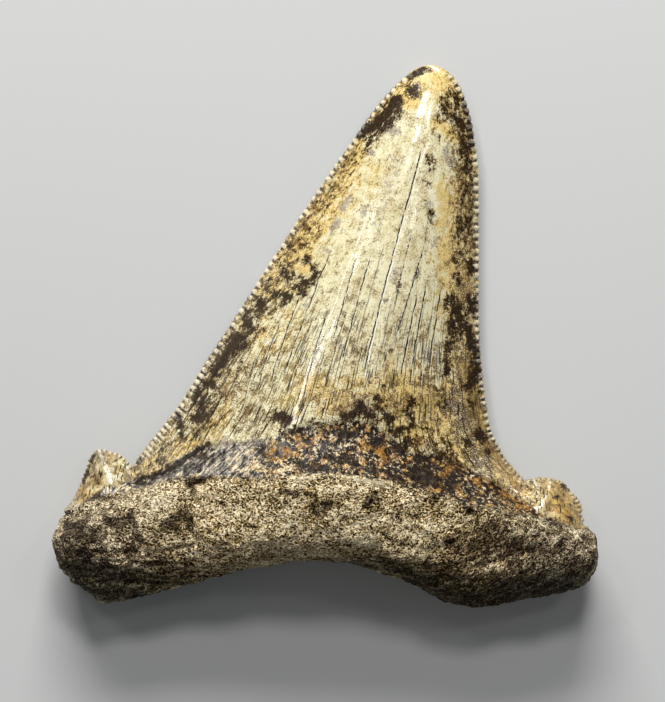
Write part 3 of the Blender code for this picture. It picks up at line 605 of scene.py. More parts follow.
def crackFields(at):
    # cracks in order across the crown: each lies where the phase is a whole number
    y = at["p"][:, 1]
    places = np.stack([np.interp(y, [low, high], [b, a]) for a, high, b, low, _ in growthCracks], axis=1)
    for i in range(1, len(growthCracks)):
        places[:, i] = np.maximum(places[:, i], places[:, i - 1] + crackRoom["least"])
    widths = np.diff(places, axis=1)
    u = at["across"]
    inside = np.clip((u[:, None] - places[:, :-1]) / widths, 0, 1).sum(axis=1)
    before, after = np.minimum(u - places[:, 0], 0), np.maximum(u - places[:, -1], 0)
    phase = inside + (before + after) / crackRoom["beyond"]
    which = np.clip(np.floor(inside).astype(int), 0, widths.shape[1] - 1)
    between = np.take_along_axis(widths, which[:, None], 1)[:, 0]
    spacing = np.where(before + after == 0, between, crackRoom["beyond"]) * at["half"]
    nearest = np.clip(np.round(phase).astype(int), 0, len(growthCracks) - 1)
    table = np.array(growthCracks)[nearest]
    high, low, strength = table[:, 1], table[:, 3], table[:, 4]
    strength = strength * smoothstep(low - 1.5, low + 0.5, y)
    strength *= 1 - smoothstep(high - 0.5, high + 1.5, y)
    strength *= np.abs(phase - nearest) < 0.75
    seam = (u - places[:, whiteSeam["crack"]]) * at["half"]
    return phase, spacing, strength, seam


fieldSpace = {
    "underShift": 1.7,
    "growthWidth": 15,  # the crown's half width in the growth space
    "underGrowth": 20,  # how far off the face it lies on is there
    "slope": 0.45, "slopeSpan": (8, 40),  # the root's grain turns up towards the right lobe
}  # fmt: skip


def measureForMaterial(piece):
    co, no = readVertices(piece)
    at = measure(co, no)
    p = at["p"]
    # the face it lies on wears the same kinds of marks, turned over and moved a little
    turnedOver = np.stack([2 * at["middle"] - p[:, 0], p[:, 1] - fieldSpace["underShift"]], axis=1)
    brushed = np.where((at["upper"] > 0.5)[:, None], p, turnedOver)
    field = {}
    for name, strokes in stains.items():
        field[name] = strokeField(brushed, onTooth(strokes), stainSpread.get(name, 1.0))
    for name in ("dark", "ochre", "orange", "grey", "pale", "speckle"):
        field[name] = field[name] * smoothstep(-6, 0, at["rise"] + 5)
    slope = fieldSpace["slope"] * smoothstep(*fieldSpace["slopeSpan"], p[:, 0])
    across = at["across"] * fieldSpace["growthWidth"]
    writeAttribute(piece, "growth", across, p[:, 1], at["z"] + fieldSpace["underGrowth"] * (1 - at["upper"]))
    writeAttribute(piece, "edge", at["beadGap"], at["count"], at["across"])
    writeAttribute(piece, "band", at["rise"], at["drop"], at["upper"])
    phase, spacing, strength, seam = crackFields(at)
    writeAttribute(piece, "crack", phase, spacing, strength * at["upper"])
    writeAttribute(piece, "seam", seam)
    writeAttribute(piece, "ease", at["ease"])
    writeAttribute(piece, "stain", field["dark"], field["ochre"], field["orange"])
    writeAttribute(piece, "tint", field["grey"], field["pale"], field["speckle"])
    rootTone = field["rootLight"] - field["rootDark"]
    # umber, the root's tone from the rootLight and rootDark strokes (partly painted shade), and how far below
    # the ledge, which also paints shade
    writeAttribute(piece, "shade", field["umber"], rootTone, at["ledge"] * at["upper"])
    writeAttribute(piece, "grain", p[:, 0], p[:, 1] - slope * (p[:, 0] - fieldSpace["slopeSpan"][0]), at["z"])
    print("material fields written")


def makeTooth():
    tooth = copySolid("fossilTooth")
    refine(tooth)
    co, no = readVertices(tooth)
    at = measure(co, no)
    inside = smoothstep(1.2, 3.0, at["gap"])
    weightGroup(tooth, "crown", inside * smoothstep(0.3, 1.5, at["rise"]))
    weightGroup(tooth, "root", smoothstep(-0.1, 0.9, at["drop"]) * (0.6 + 0.4 * at["upper"]))
    weightGroup(
        tooth, "bourlette",
        smoothstep(0, 0.6, -at["rise"]) * smoothstep(-0.6, 0.3, -at["drop"]) * at["upper"] * inside,
    )  # fmt: skip
    applyModifier(tooth, "SMOOTH", factor=0.5, iterations=toothMesh["crownSmoothing"], vertex_group="crown")
    for size, height in toothMesh["rootLumps"]:
        displace(tooth, size, height, "root")
    for size, height in toothMesh["bourletteLumps"]:
        displace(tooth, size, height, "bourlette")
    carve(tooth)
    measureForMaterial(tooth)
    tooth.vertex_groups.clear()
    bpy.ops.object.shade_smooth_by_angle(angle=math.radians(toothMesh["smoothAngle"]))
    print("tooth shaped")
    return tooth


# the material


def tone(red, green, blue):
    # a colour picker's 0 to 255 numbers as a linear colour
    shares = [c / 255 for c in (red, green, blue)]
    return tuple(((c + 0.055) / 1.055) ** 2.4 if c > 10 / 255 else c / 12.92 for c in shares) + (1.0,)


fossilColours = {
    "ivory": tone(232, 224, 184), "buff": tone(206, 191, 142), "olive": tone(154, 138, 88),
    "yellow": tone(229, 198, 120), "umber": tone(128, 95, 38), "honey": tone(152, 120, 62),
    "dun": tone(80, 71, 57), "orange": tone(160, 110, 46),
    "smoke": tone(102, 80, 44), "grey": tone(138, 128, 124), "pale": tone(250, 246, 226),
    "speckle": tone(66, 38, 6), "freckle": tone(150, 117, 52), "dark": tone(18, 9, 2),
    "darkGrain": tone(100, 61, 13),
    "crack": tone(26, 16, 6), "bead": tone(232, 222, 196), "gap": tone(24, 16, 8),
    "bourletteDark": tone(26, 13, 3), "bourletteBrown": tone(84, 54, 24), "bourletteGold": tone(184, 136, 62),
    "bourlettePale": tone(240, 222, 182), "ash": tone(136, 134, 128),
    "rootDark": tone(16, 8, 0), "rootBrown": tone(97, 69, 30), "rootTan": tone(203, 171, 113),
    "rootGrey": tone(188, 168, 132),
    "rootPale": tone(255, 239, 201), "rootShade": tone(26, 15, 3),
}  # fmt: skip

fossilFinish = {
    "enamelRoughness": 0.24, "stainRoughness": 0.4, "bourletteRoughness": 0.5, "rootRoughness": 0.85,
    "enamelCoat": 0.85, "coatRoughness": 0.12, "specular": 0.15,
    "grainRelief": 0.18, "clumpRelief": 0.3, "bourletteRelief": 0.1, "crackDepth": 0.08,
    "enamelRelief": 0.014,
}  # fmt: skip


def addNode(tree, kind, inputs=None, **settings):
    node = tree.nodes.new(kind)
    for key, value in settings.items():
        setattr(node, key, value)
    for key, value in (inputs or {}).items():
        if isinstance(value, bpy.types.NodeSocket):
            tree.links.new(value, node.inputs[key])
        else:
            node.inputs[key].default_value = value
    return node


def maths(tree, operation, a, b=0.0):
    return addNode(tree, "ShaderNodeMath", {0: a, 1: b}, operation=operation).outputs[0]


def total(tree, start, *parts):
    # a start plus each value times its share
    for value, share in parts:
        start = maths(tree, "ADD", start, maths(tree, "MULTIPLY", value, share))
    return start


def product(tree, first, *others):
    for other in others:
        first = maths(tree, "MULTIPLY", first, other)
    return first


def step(tree, value, low, high, start=0.0, end=1.0):
    inputs = {"Value": value, "From Min": low, "From Max": high, "To Min": start, "To Max": end}
    return addNode(tree, "ShaderNodeMapRange", inputs, interpolation_type="SMOOTHSTEP").outputs[0]


def mixColour(tree, factor, a, b):
    return addNode(tree, "ShaderNodeMix", {0: factor, 6: a, 7: b}, data_type="RGBA").outputs[2]


def mixValue(tree, factor, a, b):
    return addNode(tree, "ShaderNodeMix", {0: factor, 2: a, 3: b}, data_type="FLOAT").outputs[0]


def readAttribute(tree, name):
    node = addNode(tree, "ShaderNodeAttribute", attribute_name=name)
    parts = addNode(tree, "ShaderNodeSeparateXYZ", {0: node.outputs["Vector"]})
    return node.outputs["Vector"], parts.outputs[0], parts.outputs[1], parts.outputs[2]


def stretch(tree, vector, scale):
    return addNode(tree, "ShaderNodeMapping", {"Vector": vector, "Scale": scale}).outputs[0]


def turned(tree, vector, degrees):
    # so that lines at this angle to X run along X
    inputs = {"Vector": vector, "Rotation": (0, 0, math.radians(-degrees))}
    return addNode(tree, "ShaderNodeMapping", inputs).outputs[0]


def noiseAt(tree, vector, scale, detail=3.0, roughness=0.55, distortion=0.0):
    # centred on nought
    inputs = {"Vector": vector, "Scale": scale, "Detail": detail}
    inputs |= {"Roughness": roughness, "Distortion": distortion}
    return maths(tree, "SUBTRACT", addNode(tree, "ShaderNodeTexNoise", inputs).outputs[0], 0.5)


def wormsAt(tree, vector, scale, width, distortion=0.7):
    # winding lines, where a noise crosses its middle
    bare = noiseAt(tree, vector, scale, 1, 0.5, distortion)
    return step(tree, maths(tree, "ABSOLUTE", bare), width, width * 0.15)


def networkAt(tree, vector, scale, width):
    inputs = {"Vector": vector, "Scale": scale * 1.3, "Detail": 2.0}
    bend = addNode(tree, "ShaderNodeTexNoise", inputs).outputs["Color"]
    bend = addNode(tree, "ShaderNodeVectorMath", {0: bend, 3: 0.7 / scale}, operation="SCALE").outputs[0]
    bent = addNode(tree, "ShaderNodeVectorMath", {0: vector, 1: bend}, operation="ADD").outputs[0]
    inputs = {"Vector": bent, "Scale": scale}
    cells = addNode(tree, "ShaderNodeTexVoronoi", inputs, feature="DISTANCE_TO_EDGE")
    return step(tree, cells.outputs["Distance"], width * scale, width * scale * 0.3)


def readTooth(tree):
    # what the mesh carries and the noises that every covering shares, the sizes in millimetres
    place = addNode(tree, "ShaderNodeTexCoord").outputs["Object"]
    place = addNode(tree, "ShaderNodeVectorMath", {0: place, 3: 1000.0}, operation="SCALE").outputs[0]
    at = {"place": place}
    at["growth"], _, at["growY"], _ = readAttribute(tree, "growth")
    _, at["edgeGap"], at["edgeCount"], at["across"] = readAttribute(tree, "edge")
    _, at["rise"], at["drop"], at["upper"] = readAttribute(tree, "band")
    _, at["crackPhase"], at["crackSpacing"], at["crackStrength"] = readAttribute(tree, "crack")
    _, at["dark"], at["ochre"], at["orange"] = readAttribute(tree, "stain")
    _, at["grey"], at["pale"], at["speckle"] = readAttribute(tree, "tint")
    _, at["umber"], at["rootTone"], at["ledge"] = readAttribute(tree, "shade")
    for name in ("seam", "ease"):
        at[name] = addNode(tree, "ShaderNodeAttribute", attribute_name=name).outputs["Fac"]
    at["grain"] = readAttribute(tree, "grain")[0]

    # the upper left margin wears softer, larger marks
    at["soft"] = product(tree, step(tree, at["growY"], 9.0, 15.0), step(tree, at["across"], -0.2, -0.5))

    at["region"] = noiseAt(tree, at["place"], 0.17, 3, 0.55)
    at["patch"] = noiseAt(tree, at["place"], 0.62, 5, 0.62)
    at["small"] = noiseAt(tree, at["place"], 1.6, 4, 0.65)
    at["fine"] = noiseAt(tree, at["place"], 3.9, 2, 0.7, 0.5)
    at["pepper"] = noiseAt(tree, at["place"], 5.4, 1, 0.5)
    at["grit"] = noiseAt(tree, at["place"], 2.7, 3, 0.75, 0.8)
    at["blotch"] = noiseAt(tree, stretch(tree, at["growth"], (1.2, 0.75, 1.0)), 1.0, 4, 0.6, 0.4)
    at["fibre"] = noiseAt(tree, stretch(tree, at["growth"], (3.4, 0.16, 1.0)), 1.0, 4, 0.62)
    at["hair"] = noiseAt(tree, stretch(tree, at["growth"], (7.0, 0.22, 1.0)), 1.0, 2, 0.6)
    return at


def stainFields(tree, at):
    # dark stains with broken rims, and the smoky clouds around them
    margin = step(tree, maths(tree, "ABSOLUTE", at["across"]), 0.45, 0.95)
    margin = product(tree, margin, step(tree, at["soft"], 0, 1, 1.0, 0.6))
    sure = step(tree, at["dark"], 0.75, 1.0, 1.0, 0.45)
    near = product(tree, step(tree, at["dark"], 0.02, 0.3), sure)
    near = maths(tree, "MAXIMUM", near, product(tree, margin, 0.55))
    near = maths(tree, "MAXIMUM", near, product(tree, at["speckle"], step(tree, at["soft"], 0, 1, 0.5, 0.36)))
    ragged = total(tree, 0.0, (at["blotch"], 1.9), (at["grit"], 2.3), (at["small"], 1.2))
    field = total(tree, at["dark"], (product(tree, ragged, near), 1.0))
    low = step(tree, at["growY"], 12.0, -8.0, 0.0, 0.09)
    cloud = step(tree, total(tree, low, (at["blotch"], 1.0), (at["fine"], 0.35)), 0.07, 0.19, 0, 0.6)
    smoke = maths(tree, "MAXIMUM", cloud, step(tree, field, 0.12, 0.5, 0, 0.7))
    return step(tree, field, 0.42, 0.62), smoke


def crackFieldsOf(tree, at):
    # dark cracks with a painted highlight on one lip, hairlines low on the crown, and a painted highlight as
    # a white band beside one crack
    whole = maths(tree, "ROUND", at["crackPhase"])
    wander = product(tree, noiseAt(tree, at["place"], 0.5, 4), 0.5)
    off = total(tree, wander, (maths(tree, "SUBTRACT", at["crackPhase"], whole), at["crackSpacing"]))
    line = step(tree, maths(tree, "ABSOLUTE", off), 0.14, 0.05)
    lipHighlight = step(tree, maths(tree, "ABSOLUTE", maths(tree, "SUBTRACT", off, 0.16)), 0.09, 0.02)
    broken = step(tree, noiseAt(tree, at["place"], 1.1, 3), -0.16, 0.02, 0.25, 1.0)
    line = product(tree, line, at["crackStrength"], broken, 1.2)
    lipHighlight = product(tree, lipHighlight, at["crackStrength"], broken)
    lowDown = step(tree, at["growY"], 14.0, -6.0, 0.0, 0.85)
    hairline = product(tree, step(tree, at["hair"], 0.075, 0.14), lowDown)
    band = maths(tree, "ABSOLUTE", maths(tree, "SUBTRACT", maths(tree, "ADD", at["seam"], wander), 0.2))
    belowTop = step(tree, at["growY"], whiteSeam["top"], whiteSeam["top"] - 3)
    aboveBottom = step(tree, at["growY"], whiteSeam["bottom"] - 2, whiteSeam["bottom"] + 1)
    seamHighlight = product(tree, step(tree, band, 0.16, 0.07), at["upper"], belowTop, aboveBottom, broken)
    return maths(tree, "MAXIMUM", line, hairline), lipHighlight, seamHighlight


def enamelGround(tree, at, side, margin, low):
    # ivory clouded with buff and olive, golden towards the edges and the tip
    tones = fossilColours
    mottle = total(tree, 0.0, (at["region"], 0.7), (at["patch"], 1.1), (at["fibre"], 0.5), (at["fine"], 0.5))
    colour = mixColour(tree, step(tree, mottle, -0.15, 0.25), tones["ivory"], tones["buff"])
    olive = step(tree, total(tree, at["small"], (at["fine"], 0.7), (low, 0.05)), 0.07, 0.25, 0, 0.6)
    rightward = step(tree, at["across"], 0.1, 0.65)
    shadow = mixColour(tree, rightward, tones["olive"], tones["honey"])
    colour = mixColour(tree, olive, colour, shadow)
    fibrous = product(tree, step(tree, at["fibre"], 0.0, 0.14), low, 0.6)
    colour = mixColour(tree, fibrous, colour, shadow)
    tipward = step(tree, at["growY"], 32.0, 38.5)
    gold = total(
        tree, at["ochre"], (at["region"], 1.1), (at["blotch"], 1.5), (at["small"], 0.8), (margin, 0.5),
        (tipward, 0.55), (rightward, 0.2),
    )  # fmt: skip
    colour = mixColour(tree, step(tree, gold, 0.2, 0.75, 0, 0.92), colour, tones["yellow"])
    umber = total(tree, at["umber"], (at["blotch"], 1.4), (at["fibre"], 1.0), (at["fine"], 0.6))
    umber = product(tree, step(tree, umber, 0.15, 0.95, 0, 0.9), step(tree, at["umber"], 0.03, 0.3))
    colour = mixColour(tree, umber, colour, tones["umber"])
    clouds = step(tree, total(tree, at["blotch"], (at["patch"], 0.8)), -0.3, 0.15, 0.2, 0.75)
    cusplet = product(tree, step(tree, side, 1.04, 1.14), clouds)
    colour = mixColour(tree, cusplet, colour, tones["honey"])
    # pale marks, and where the pale strokes lie, painted highlights on the crown
    pale = step(tree, total(tree, at["pale"], (at["small"], 0.6)), 0.3, 0.8, 0, 0.8)
    colour = mixColour(tree, pale, colour, tones["pale"])
    orange = step(tree, total(tree, at["orange"], (at["small"], 2.0), (at["fine"], 1.0)), 0.3, 0.85, 0, 0.85)
    orange = product(tree, orange, step(tree, at["orange"], 0.03, 0.3))
    colour = mixColour(tree, orange, colour, tones["orange"])
    grey = step(tree, total(tree, at["grey"], (at["small"], 1.6), (at["fine"], 1.0)), 0.25, 0.75, 0, 0.75)
    return mixColour(tree, product(tree, grey, step(tree, at["grey"], 0.03, 0.3)), colour, tones["grey"])


def freckled(tree, at, colour, side, margin, low):
    # fine crazing, then freckles, thicker near the edges, low down and where the strokes say
    tones = fossilColours
    craze = product(tree, networkAt(tree, at["place"], 0.8, 0.055), step(tree, at["patch"], -0.05, 0.1), 0.4)
    colour = mixColour(tree, craze, colour, tones["smoke"])
    lowLeft = product(tree, low, step(tree, at["across"], -0.1, -0.5))
    crowd = total(
        tree, -0.035, (margin, 0.10), (at["speckle"], 0.09), (low, 0.06), (at["patch"], 0.35),
        (at["blotch"], 0.25), (at["pale"], -0.05), (at["umber"], 0.02), (lowLeft, -0.03),
    )  # fmt: skip
    plenty = step(tree, side, 1.04, 1.14, 1.0, 0.25)
    plenty = product(tree, plenty, step(tree, at["umber"], 0.3, 0.9, 1.0, 0.3))
    freckle = product(tree, step(tree, maths(tree, "ADD", at["fine"], crowd), 0.03, 0.11, 0, 0.48), plenty)
    colour = mixColour(tree, freckle, colour, tones["freckle"])
    dapple = total(tree, at["small"], (crowd, 1.3), (at["fine"], 0.3), (at["soft"], 0.06))
    dapple = step(tree, dapple, 0.15, 0.25, 0, 0.75)
    colour = mixColour(tree, product(tree, dapple, plenty), colour, tones["smoke"])
    plenty = product(tree, plenty, step(tree, at["soft"], 0, 1, 1.0, 0.4))
    speckle = step(tree, maths(tree, "ADD", at["grit"], crowd), 0.145, 0.22, 0, 0.66)
    paler = step(tree, at["growY"], 18.0, -2.0, 0.55, 0.0)
    specks = mixColour(tree, paler, tones["speckle"], tones["freckle"])
    colour = mixColour(tree, product(tree, speckle, plenty), colour, specks)
    pepper = step(tree, total(tree, at["pepper"], (crowd, 0.7), (at["small"], 0.5)), 0.125, 0.185, 0, 0.6)
    colour = mixColour(tree, product(tree, pepper, plenty), colour, specks)
    salt = total(tree, maths(tree, "MULTIPLY", at["pepper"], -1.0), (crowd, 0.4))
    salt = step(tree, salt, 0.12, 0.19, 0, 0.6)
    colour = mixColour(tree, product(tree, salt, plenty), colour, tones["pale"])
    threads = step(tree, total(tree, at["hair"], (at["fine"], 0.3)), 0.06, 0.13, 0, 0.62)
    threads = product(tree, threads, low, plenty)
    return mixColour(tree, threads, colour, tones["speckle"])


def darkStained(tree, at, colour, dark, smoke):
    tones = fossilColours
    colour = mixColour(tree, smoke, colour, tones["smoke"])
    darkGrain = total(tree, at["fine"], (at["pepper"], 0.7))
    darkGrain = mixColour(tree, step(tree, darkGrain, 0.06, 0.2, 0, 0.9), tones["dark"], tones["darkGrain"])
    leftLow = product(tree, step(tree, at["across"], -0.3, -0.8), step(tree, at["growY"], 14.0, 6.0, 0, 0.5))
    grains = step(tree, total(tree, at["grit"], (at["pepper"], 0.6)), -0.1, 0.12, 0.2, 1.0)
    leftLow = product(tree, leftLow, grains)
    darkGrain = mixColour(tree, leftLow, darkGrain, tones["dun"])
    return mixColour(tree, product(tree, dark, 0.95), colour, darkGrain)


def beaded(tree, at, colour, dark):
    # serration beads and the dark between them
    tones = fossilColours
    wave = maths(tree, "COSINE", product(tree, at["edgeCount"], 2 * math.pi))
    worn = step(tree, at["growY"], 41.4, 39.5)
    reach = total(tree, at["edgeGap"], (at["small"], 2.2), (at["ease"], -0.5))
    uneven = total(tree, wave, (at["small"], 3.4), (at["grit"], 2.2))
    onCrown = step(tree, at["growY"], -21.0, -16.0, 0.4, 1.0)
    bare = product(tree, step(tree, dark, 0, 1, 0.8, 0.3), step(tree, at["ease"], 0.15, 0.6, 0.35, 1.0))
    bare = product(tree, bare, onCrown)
    bead = product(tree, step(tree, uneven, -0.5, 0.1), step(tree, reach, 0.7, 0.15), worn)
    colour = mixColour(tree, product(tree, bead, bare), colour, tones["bead"])
    eased = step(tree, at["ease"], 0.1, 0.8, 0.4, 0.9)
    clear = mixValue(tree, step(tree, at["growY"], -19.0, -14.0), 0.3, eased)
    notch = product(tree, step(tree, uneven, -0.45, -0.85), step(tree, reach, 0.9, 0.4), worn, clear)
    return mixColour(tree, notch, colour, tones["gap"])


def enamelColour(tree, at, dark, smoke, crack, lipHighlight, seamHighlight):
    tones = fossilColours
    side = maths(tree, "ABSOLUTE", at["across"])
    margin = step(tree, total(tree, side, (at["blotch"], 1.2)), 0.5, 0.92)
    margin = product(tree, margin, step(tree, side, 1.02, 1.1, 1.0, 0.35))
    low = step(tree, at["growY"], 6.0, -14.0)
    colour = enamelGround(tree, at, side, margin, low)
    colour = freckled(tree, at, colour, side, margin, low)
    colour = darkStained(tree, at, colour, dark, smoke)
    colour = mixColour(tree, crack, colour, tones["crack"])
    # painted highlights: a pale lip beside each crack and a white band beside one crack
    colour = mixColour(tree, product(tree, lipHighlight, 0.4), colour, tones["pale"])
    colour = mixColour(tree, product(tree, seamHighlight, 0.9), colour, tones["pale"])
    return beaded(tree, at, colour, dark)


def bourletteColour(tree, at, dark):
    # dark brown with gold and orange strands, and grey with slanting pale streaks to the left
    tones = fossilColours
    upright = stretch(tree, at["place"], (1.5, 0.9, 1.2))
    threads = product(tree, wormsAt(tree, upright, 1.9, 0.11), 0.55)
    strands = maths(tree, "MAXIMUM", wormsAt(tree, upright, 1.0, 0.13), threads)
    body = total(tree, 0.36, (at["patch"], 1.8), (at["small"], 1.6), (at["orange"], 0.2), (at["pale"], 0.15))
    colour = mixColour(tree, step(tree, body, 0.4, 0.7), tones["bourletteDark"], tones["bourletteBrown"])
    bright = product(tree, strands, step(tree, body, 0.32, 0.6), 0.9)
    colour = mixColour(tree, bright, colour, tones["bourletteGold"])
    orange = total(tree, at["orange"], (at["grit"], 1.6), (at["small"], 1.4))
    lined = step(tree, total(tree, at["fine"], (at["pepper"], 0.8)), -0.08, 0.12, 0.25, 1.0)
    orange = product(tree, step(tree, orange, 0.4, 0.9, 0, 0.62), step(tree, at["orange"], 0.12, 0.4), lined)
    colour = mixColour(tree, product(tree, orange, step(tree, body, 0.2, 0.45)), colour, tones["orange"])
    # pale strands, brightened by the painted glints among the pale strokes
    pale = total(
        tree, at["small"], (at["fine"], 0.45), (at["pepper"], 0.35), (at["pale"], 0.2), (at["orange"], -0.22),
        (step(tree, at["across"], -0.1, 0.5), -0.035),
    )  # fmt: skip
    pale = product(tree, strands, step(tree, pale, -0.01, 0.1))
    colour = mixColour(tree, product(tree, pale, 0.85), colour, tones["bourlettePale"])
    slant = noiseAt(tree, stretch(tree, turned(tree, at["place"], 48), (0.4, 2.9, 1.0)), 1.0, 3, 0.7, 0.3)
    left = step(tree, total(tree, at["across"], (at["small"], 0.6), (at["patch"], 0.6)), -0.22, -0.42)
    left = product(tree, left, step(tree, at["across"], -1.2, -1.08))
    ash = step(tree, total(tree, slant, (at["patch"], 0.9), (at["fine"], 0.4)), -0.1, 0.06)
    ash = mixColour(tree, ash, tones["bourletteDark"], tones["ash"])
    light = total(tree, slant, (at["fine"], 0.5), (at["patch"], 0.5), (at["pale"], 0.15))
    ash = mixColour(tree, step(tree, light, 0.06, 0.14), ash, tones["bourlettePale"])
    colour = mixColour(tree, product(tree, left, 0.85), colour, ash)
    return mixColour(tree, product(tree, dark, 0.92), colour, tones["bourletteDark"])


def rootColour(tree, at):
    # winding tan grains over darker pores, soft dark patches, and layers below the ledge, with painted shade
    # darkening below the ledge and along the bottom edges
    tones = fossilColours
    along = stretch(tree, at["grain"], (0.9, 1.2, 1.0))
    finer = product(tree, wormsAt(tree, along, 2.9, 0.10), 0.7)
    worms = maths(tree, "MAXIMUM", wormsAt(tree, along, 1.7, 0.12), finer)
    clumps = noiseAt(tree, stretch(tree, at["grain"], (0.30, 0.5, 0.45)), 1.0, 5, 0.65)
    strata = noiseAt(tree, stretch(tree, at["grain"], (0.22, 1.7, 1.0)), 1.0, 4, 0.65)
    field = total(
        tree, -0.14, (worms, 0.56), (clumps, 1.0), (at["fine"], 0.8), (at["small"], 0.65),
        (at["rootTone"], 0.18), (at["pepper"], 0.85), (product(tree, strata, at["ledge"]), 1.1),
    )  # fmt: skip
    colour = mixColour(tree, step(tree, field, -0.03, 0.07), tones["rootDark"], tones["rootBrown"])
    lobe = step(tree, maths(tree, "ABSOLUTE", at["across"]), 0.6, 1.2)
    tan = mixColour(tree, lobe, tones["rootTan"], tones["rootGrey"])
    colour = mixColour(tree, step(tree, field, 0.14, 0.23), colour, tan)
    colour = mixColour(tree, step(tree, field, 0.32, 0.44), colour, tones["rootPale"])
    # darker where clumps and rootDark strokes lie: the root's own patches, plus painted shade below the ledge
    # and along its bottom edge
    shade = total(
        tree, 0.04, (clumps, -1.3), (at["rootTone"], -0.95), (at["small"], 0.9), (at["fine"], 0.4),
        (at["ledge"], 0.2),
    )  # fmt: skip
    shade = product(tree, step(tree, shade, 0.14, 0.62, 0, 0.92), step(tree, worms, 0, 1, 1.0, 0.78))
    colour = mixColour(tree, shade, colour, tones["rootShade"])
    rim = step(tree, total(tree, at["rootTone"], (at["fine"], 0.5)), 0.75, 0.95, 0, 0.7)
    colour = mixColour(tree, rim, colour, tones["rootPale"])
    return colour, worms, clumps, strata


def makeFossil():
    material = bpy.data.materials.new("fossil")
    material.use_nodes = True
    tree = material.node_tree
    shader = tree.nodes["Principled BSDF"]
    at = readTooth(tree)
    dark, smoke = stainFields(tree, at)
    crack, lipHighlight, seamHighlight = crackFieldsOf(tree, at)
    enamel = enamelColour(tree, at, dark, smoke, crack, lipHighlight, seamHighlight)
    bourlette = bourletteColour(tree, at, dark)
    root, worms, clumps, strata = rootColour(tree, at)

    # where each one shows
    border = total(tree, 0.0, (at["small"], 1.8), (at["patch"], 2.2))
    enamelShows = step(tree, maths(tree, "ADD", at["rise"], border), -0.35, 0.35)
    rootShows = step(tree, total(tree, at["drop"], (border, 1.0)), -0.25, 0.45)
    surface = mixColour(tree, enamelShows, bourlette, enamel)
    surface = mixColour(tree, rootShows, surface, root)
    tree.links.new(surface, shader.inputs["Base Color"])

    # finish
    finish = fossilFinish
    rough = mixValue(tree, dark, finish["enamelRoughness"], finish["stainRoughness"])
    rough = mixValue(tree, enamelShows, finish["bourletteRoughness"], rough)
    rough = mixValue(tree, rootShows, rough, finish["rootRoughness"])
    rough = total(tree, rough, (at["fine"], 0.2))
    tree.links.new(rough, shader.inputs["Roughness"])
    onBourlette = step(tree, at["across"], -0.5, -0.1, 0.5, 0.1)
    glaze = mixValue(tree, enamelShows, onBourlette, 1.0)
    glaze = product(tree, maths(tree, "SUBTRACT", 1.0, rootShows), glaze)
    glaze = product(tree, glaze, step(tree, at["growY"], 39.5, 37.0), step(tree, dark, 0, 1, 1.0, 0.2))
    glaze = product(tree, glaze, step(tree, crack, 0, 1, 1.0, 0.3), finish["enamelCoat"])
    tree.links.new(glaze, shader.inputs["Coat Weight"])
    shader.inputs["Coat Roughness"].default_value = finish["coatRoughness"]
    shader.inputs["Specular IOR Level"].default_value = finish["specular"]

    # bump heights in millimetres
    rootHeight = total(
        tree, 0.0, (worms, finish["grainRelief"]), (clumps, finish["clumpRelief"]),
        (product(tree, strata, at["ledge"]), finish["clumpRelief"] * 2),
        (at["fine"], finish["grainRelief"] * 1.5),
    )  # fmt: skip
    enamelHeight = total(
        tree, 0.0, (at["fine"], finish["enamelRelief"]), (at["fibre"], finish["enamelRelief"]),
        (crack, -finish["crackDepth"]),
    )  # fmt: skip
    bourletteHeight = total(
        tree, 0.0, (at["small"], finish["bourletteRelief"] * 2), (at["fine"], finish["bourletteRelief"]),
    )  # fmt: skip
    height = mixValue(tree, enamelShows, bourletteHeight, enamelHeight)
    height = mixValue(tree, rootShows, height, rootHeight)
    bump = addNode(tree, "ShaderNodeBump", {"Strength": 1.0, "Distance": metre, "Height": height})
    tree.links.new(bump.outputs[0], shader.inputs["Normal"])
    print("material made:", len(tree.nodes), "nodes")
    return material


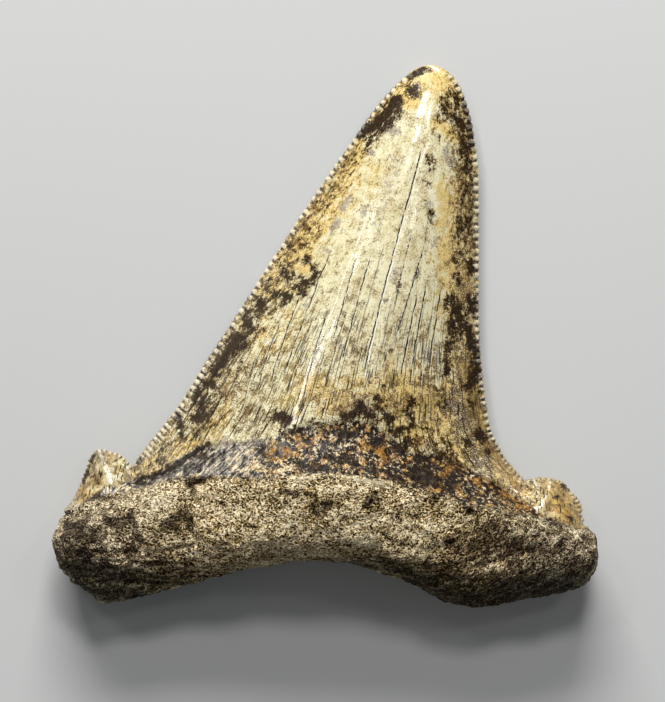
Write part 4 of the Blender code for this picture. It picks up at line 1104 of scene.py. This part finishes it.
# the floor, the light and the camera
studio = {
    "floorSize": 2.0, "floorColour": tone(206, 206, 204), "floorRoughness": 0.9,  # the size in metres
    "world": (0.9, 0.95, 1.0, 1.0), "worldStrength": 0.14,
    "lights": [  # name, place, aim, size, power: metres and watts
        ("window", (-0.07, 0.75, 0.45), (0.0, 0.0, 0.01), (0.54, 0.35), 9.8),
        ("upperLamp", (0.05, 0.30, 0.50), (0.013, 0.029, 0.006), (0.13, 0.08), 0.72),
        ("leftLamp", (-0.25, 0.27, 0.50), (0.004, 0.012, 0.009), (0.09, 0.045), 0.19),
        ("rightLamp", (0.265, 0.175, 0.50), (0.015, 0.027, 0.007), (0.05, 0.08), 0.12),
    ],
    "cameraAim": (0.00108, -0.00231, 0.004), "cameraDistance": 0.596,  # metres
    "focal": 209.0, "sensor": 36.0, "clipStart": 0.01,  # millimetres, and metres for the last
}  # fmt: skip


def makeStudio():
    bpy.ops.object.select_all(action="DESELECT")
    bpy.ops.mesh.primitive_plane_add(size=studio["floorSize"], location=(0, 0, 0))
    floor = bpy.context.active_object
    floor.name = "floor"
    material = bpy.data.materials.new("floor")
    material.use_nodes = True
    shader = material.node_tree.nodes["Principled BSDF"]
    shader.inputs["Base Color"].default_value = studio["floorColour"]
    shader.inputs["Roughness"].default_value = studio["floorRoughness"]
    floor.data.materials.append(material)

    world = bpy.data.worlds.new("studio")
    world.use_nodes = True
    world.node_tree.nodes["Background"].inputs[0].default_value = studio["world"]
    world.node_tree.nodes["Background"].inputs[1].default_value = studio["worldStrength"]
    bpy.context.scene.world = world

    for name, place, aim, size, power in studio["lights"]:
        bpy.ops.object.light_add(type="AREA", location=place)
        light = bpy.context.active_object
        light.name = name
        light.rotation_euler = (Vector(aim) - Vector(place)).to_track_quat("-Z", "Y").to_euler()
        light.data.shape = "RECTANGLE"
        light.data.size, light.data.size_y = size
        light.data.energy = power

    bpy.ops.object.camera_add(location=Vector(studio["cameraAim"]) + Vector((0, 0, studio["cameraDistance"])))
    camera = bpy.context.active_object
    camera.data.lens = studio["focal"]
    camera.data.sensor_fit = "HORIZONTAL"
    camera.data.sensor_width = studio["sensor"]
    camera.data.clip_start = studio["clipStart"]
    bpy.context.scene.camera = camera
    bpy.context.scene.view_settings.view_transform = "Standard"
    print("studio ready")


fossilTooth = makeTooth()
fossilTooth.data.materials.append(makeFossil())
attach(fossilTooth, "root")
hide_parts("tooth")
makeStudio()
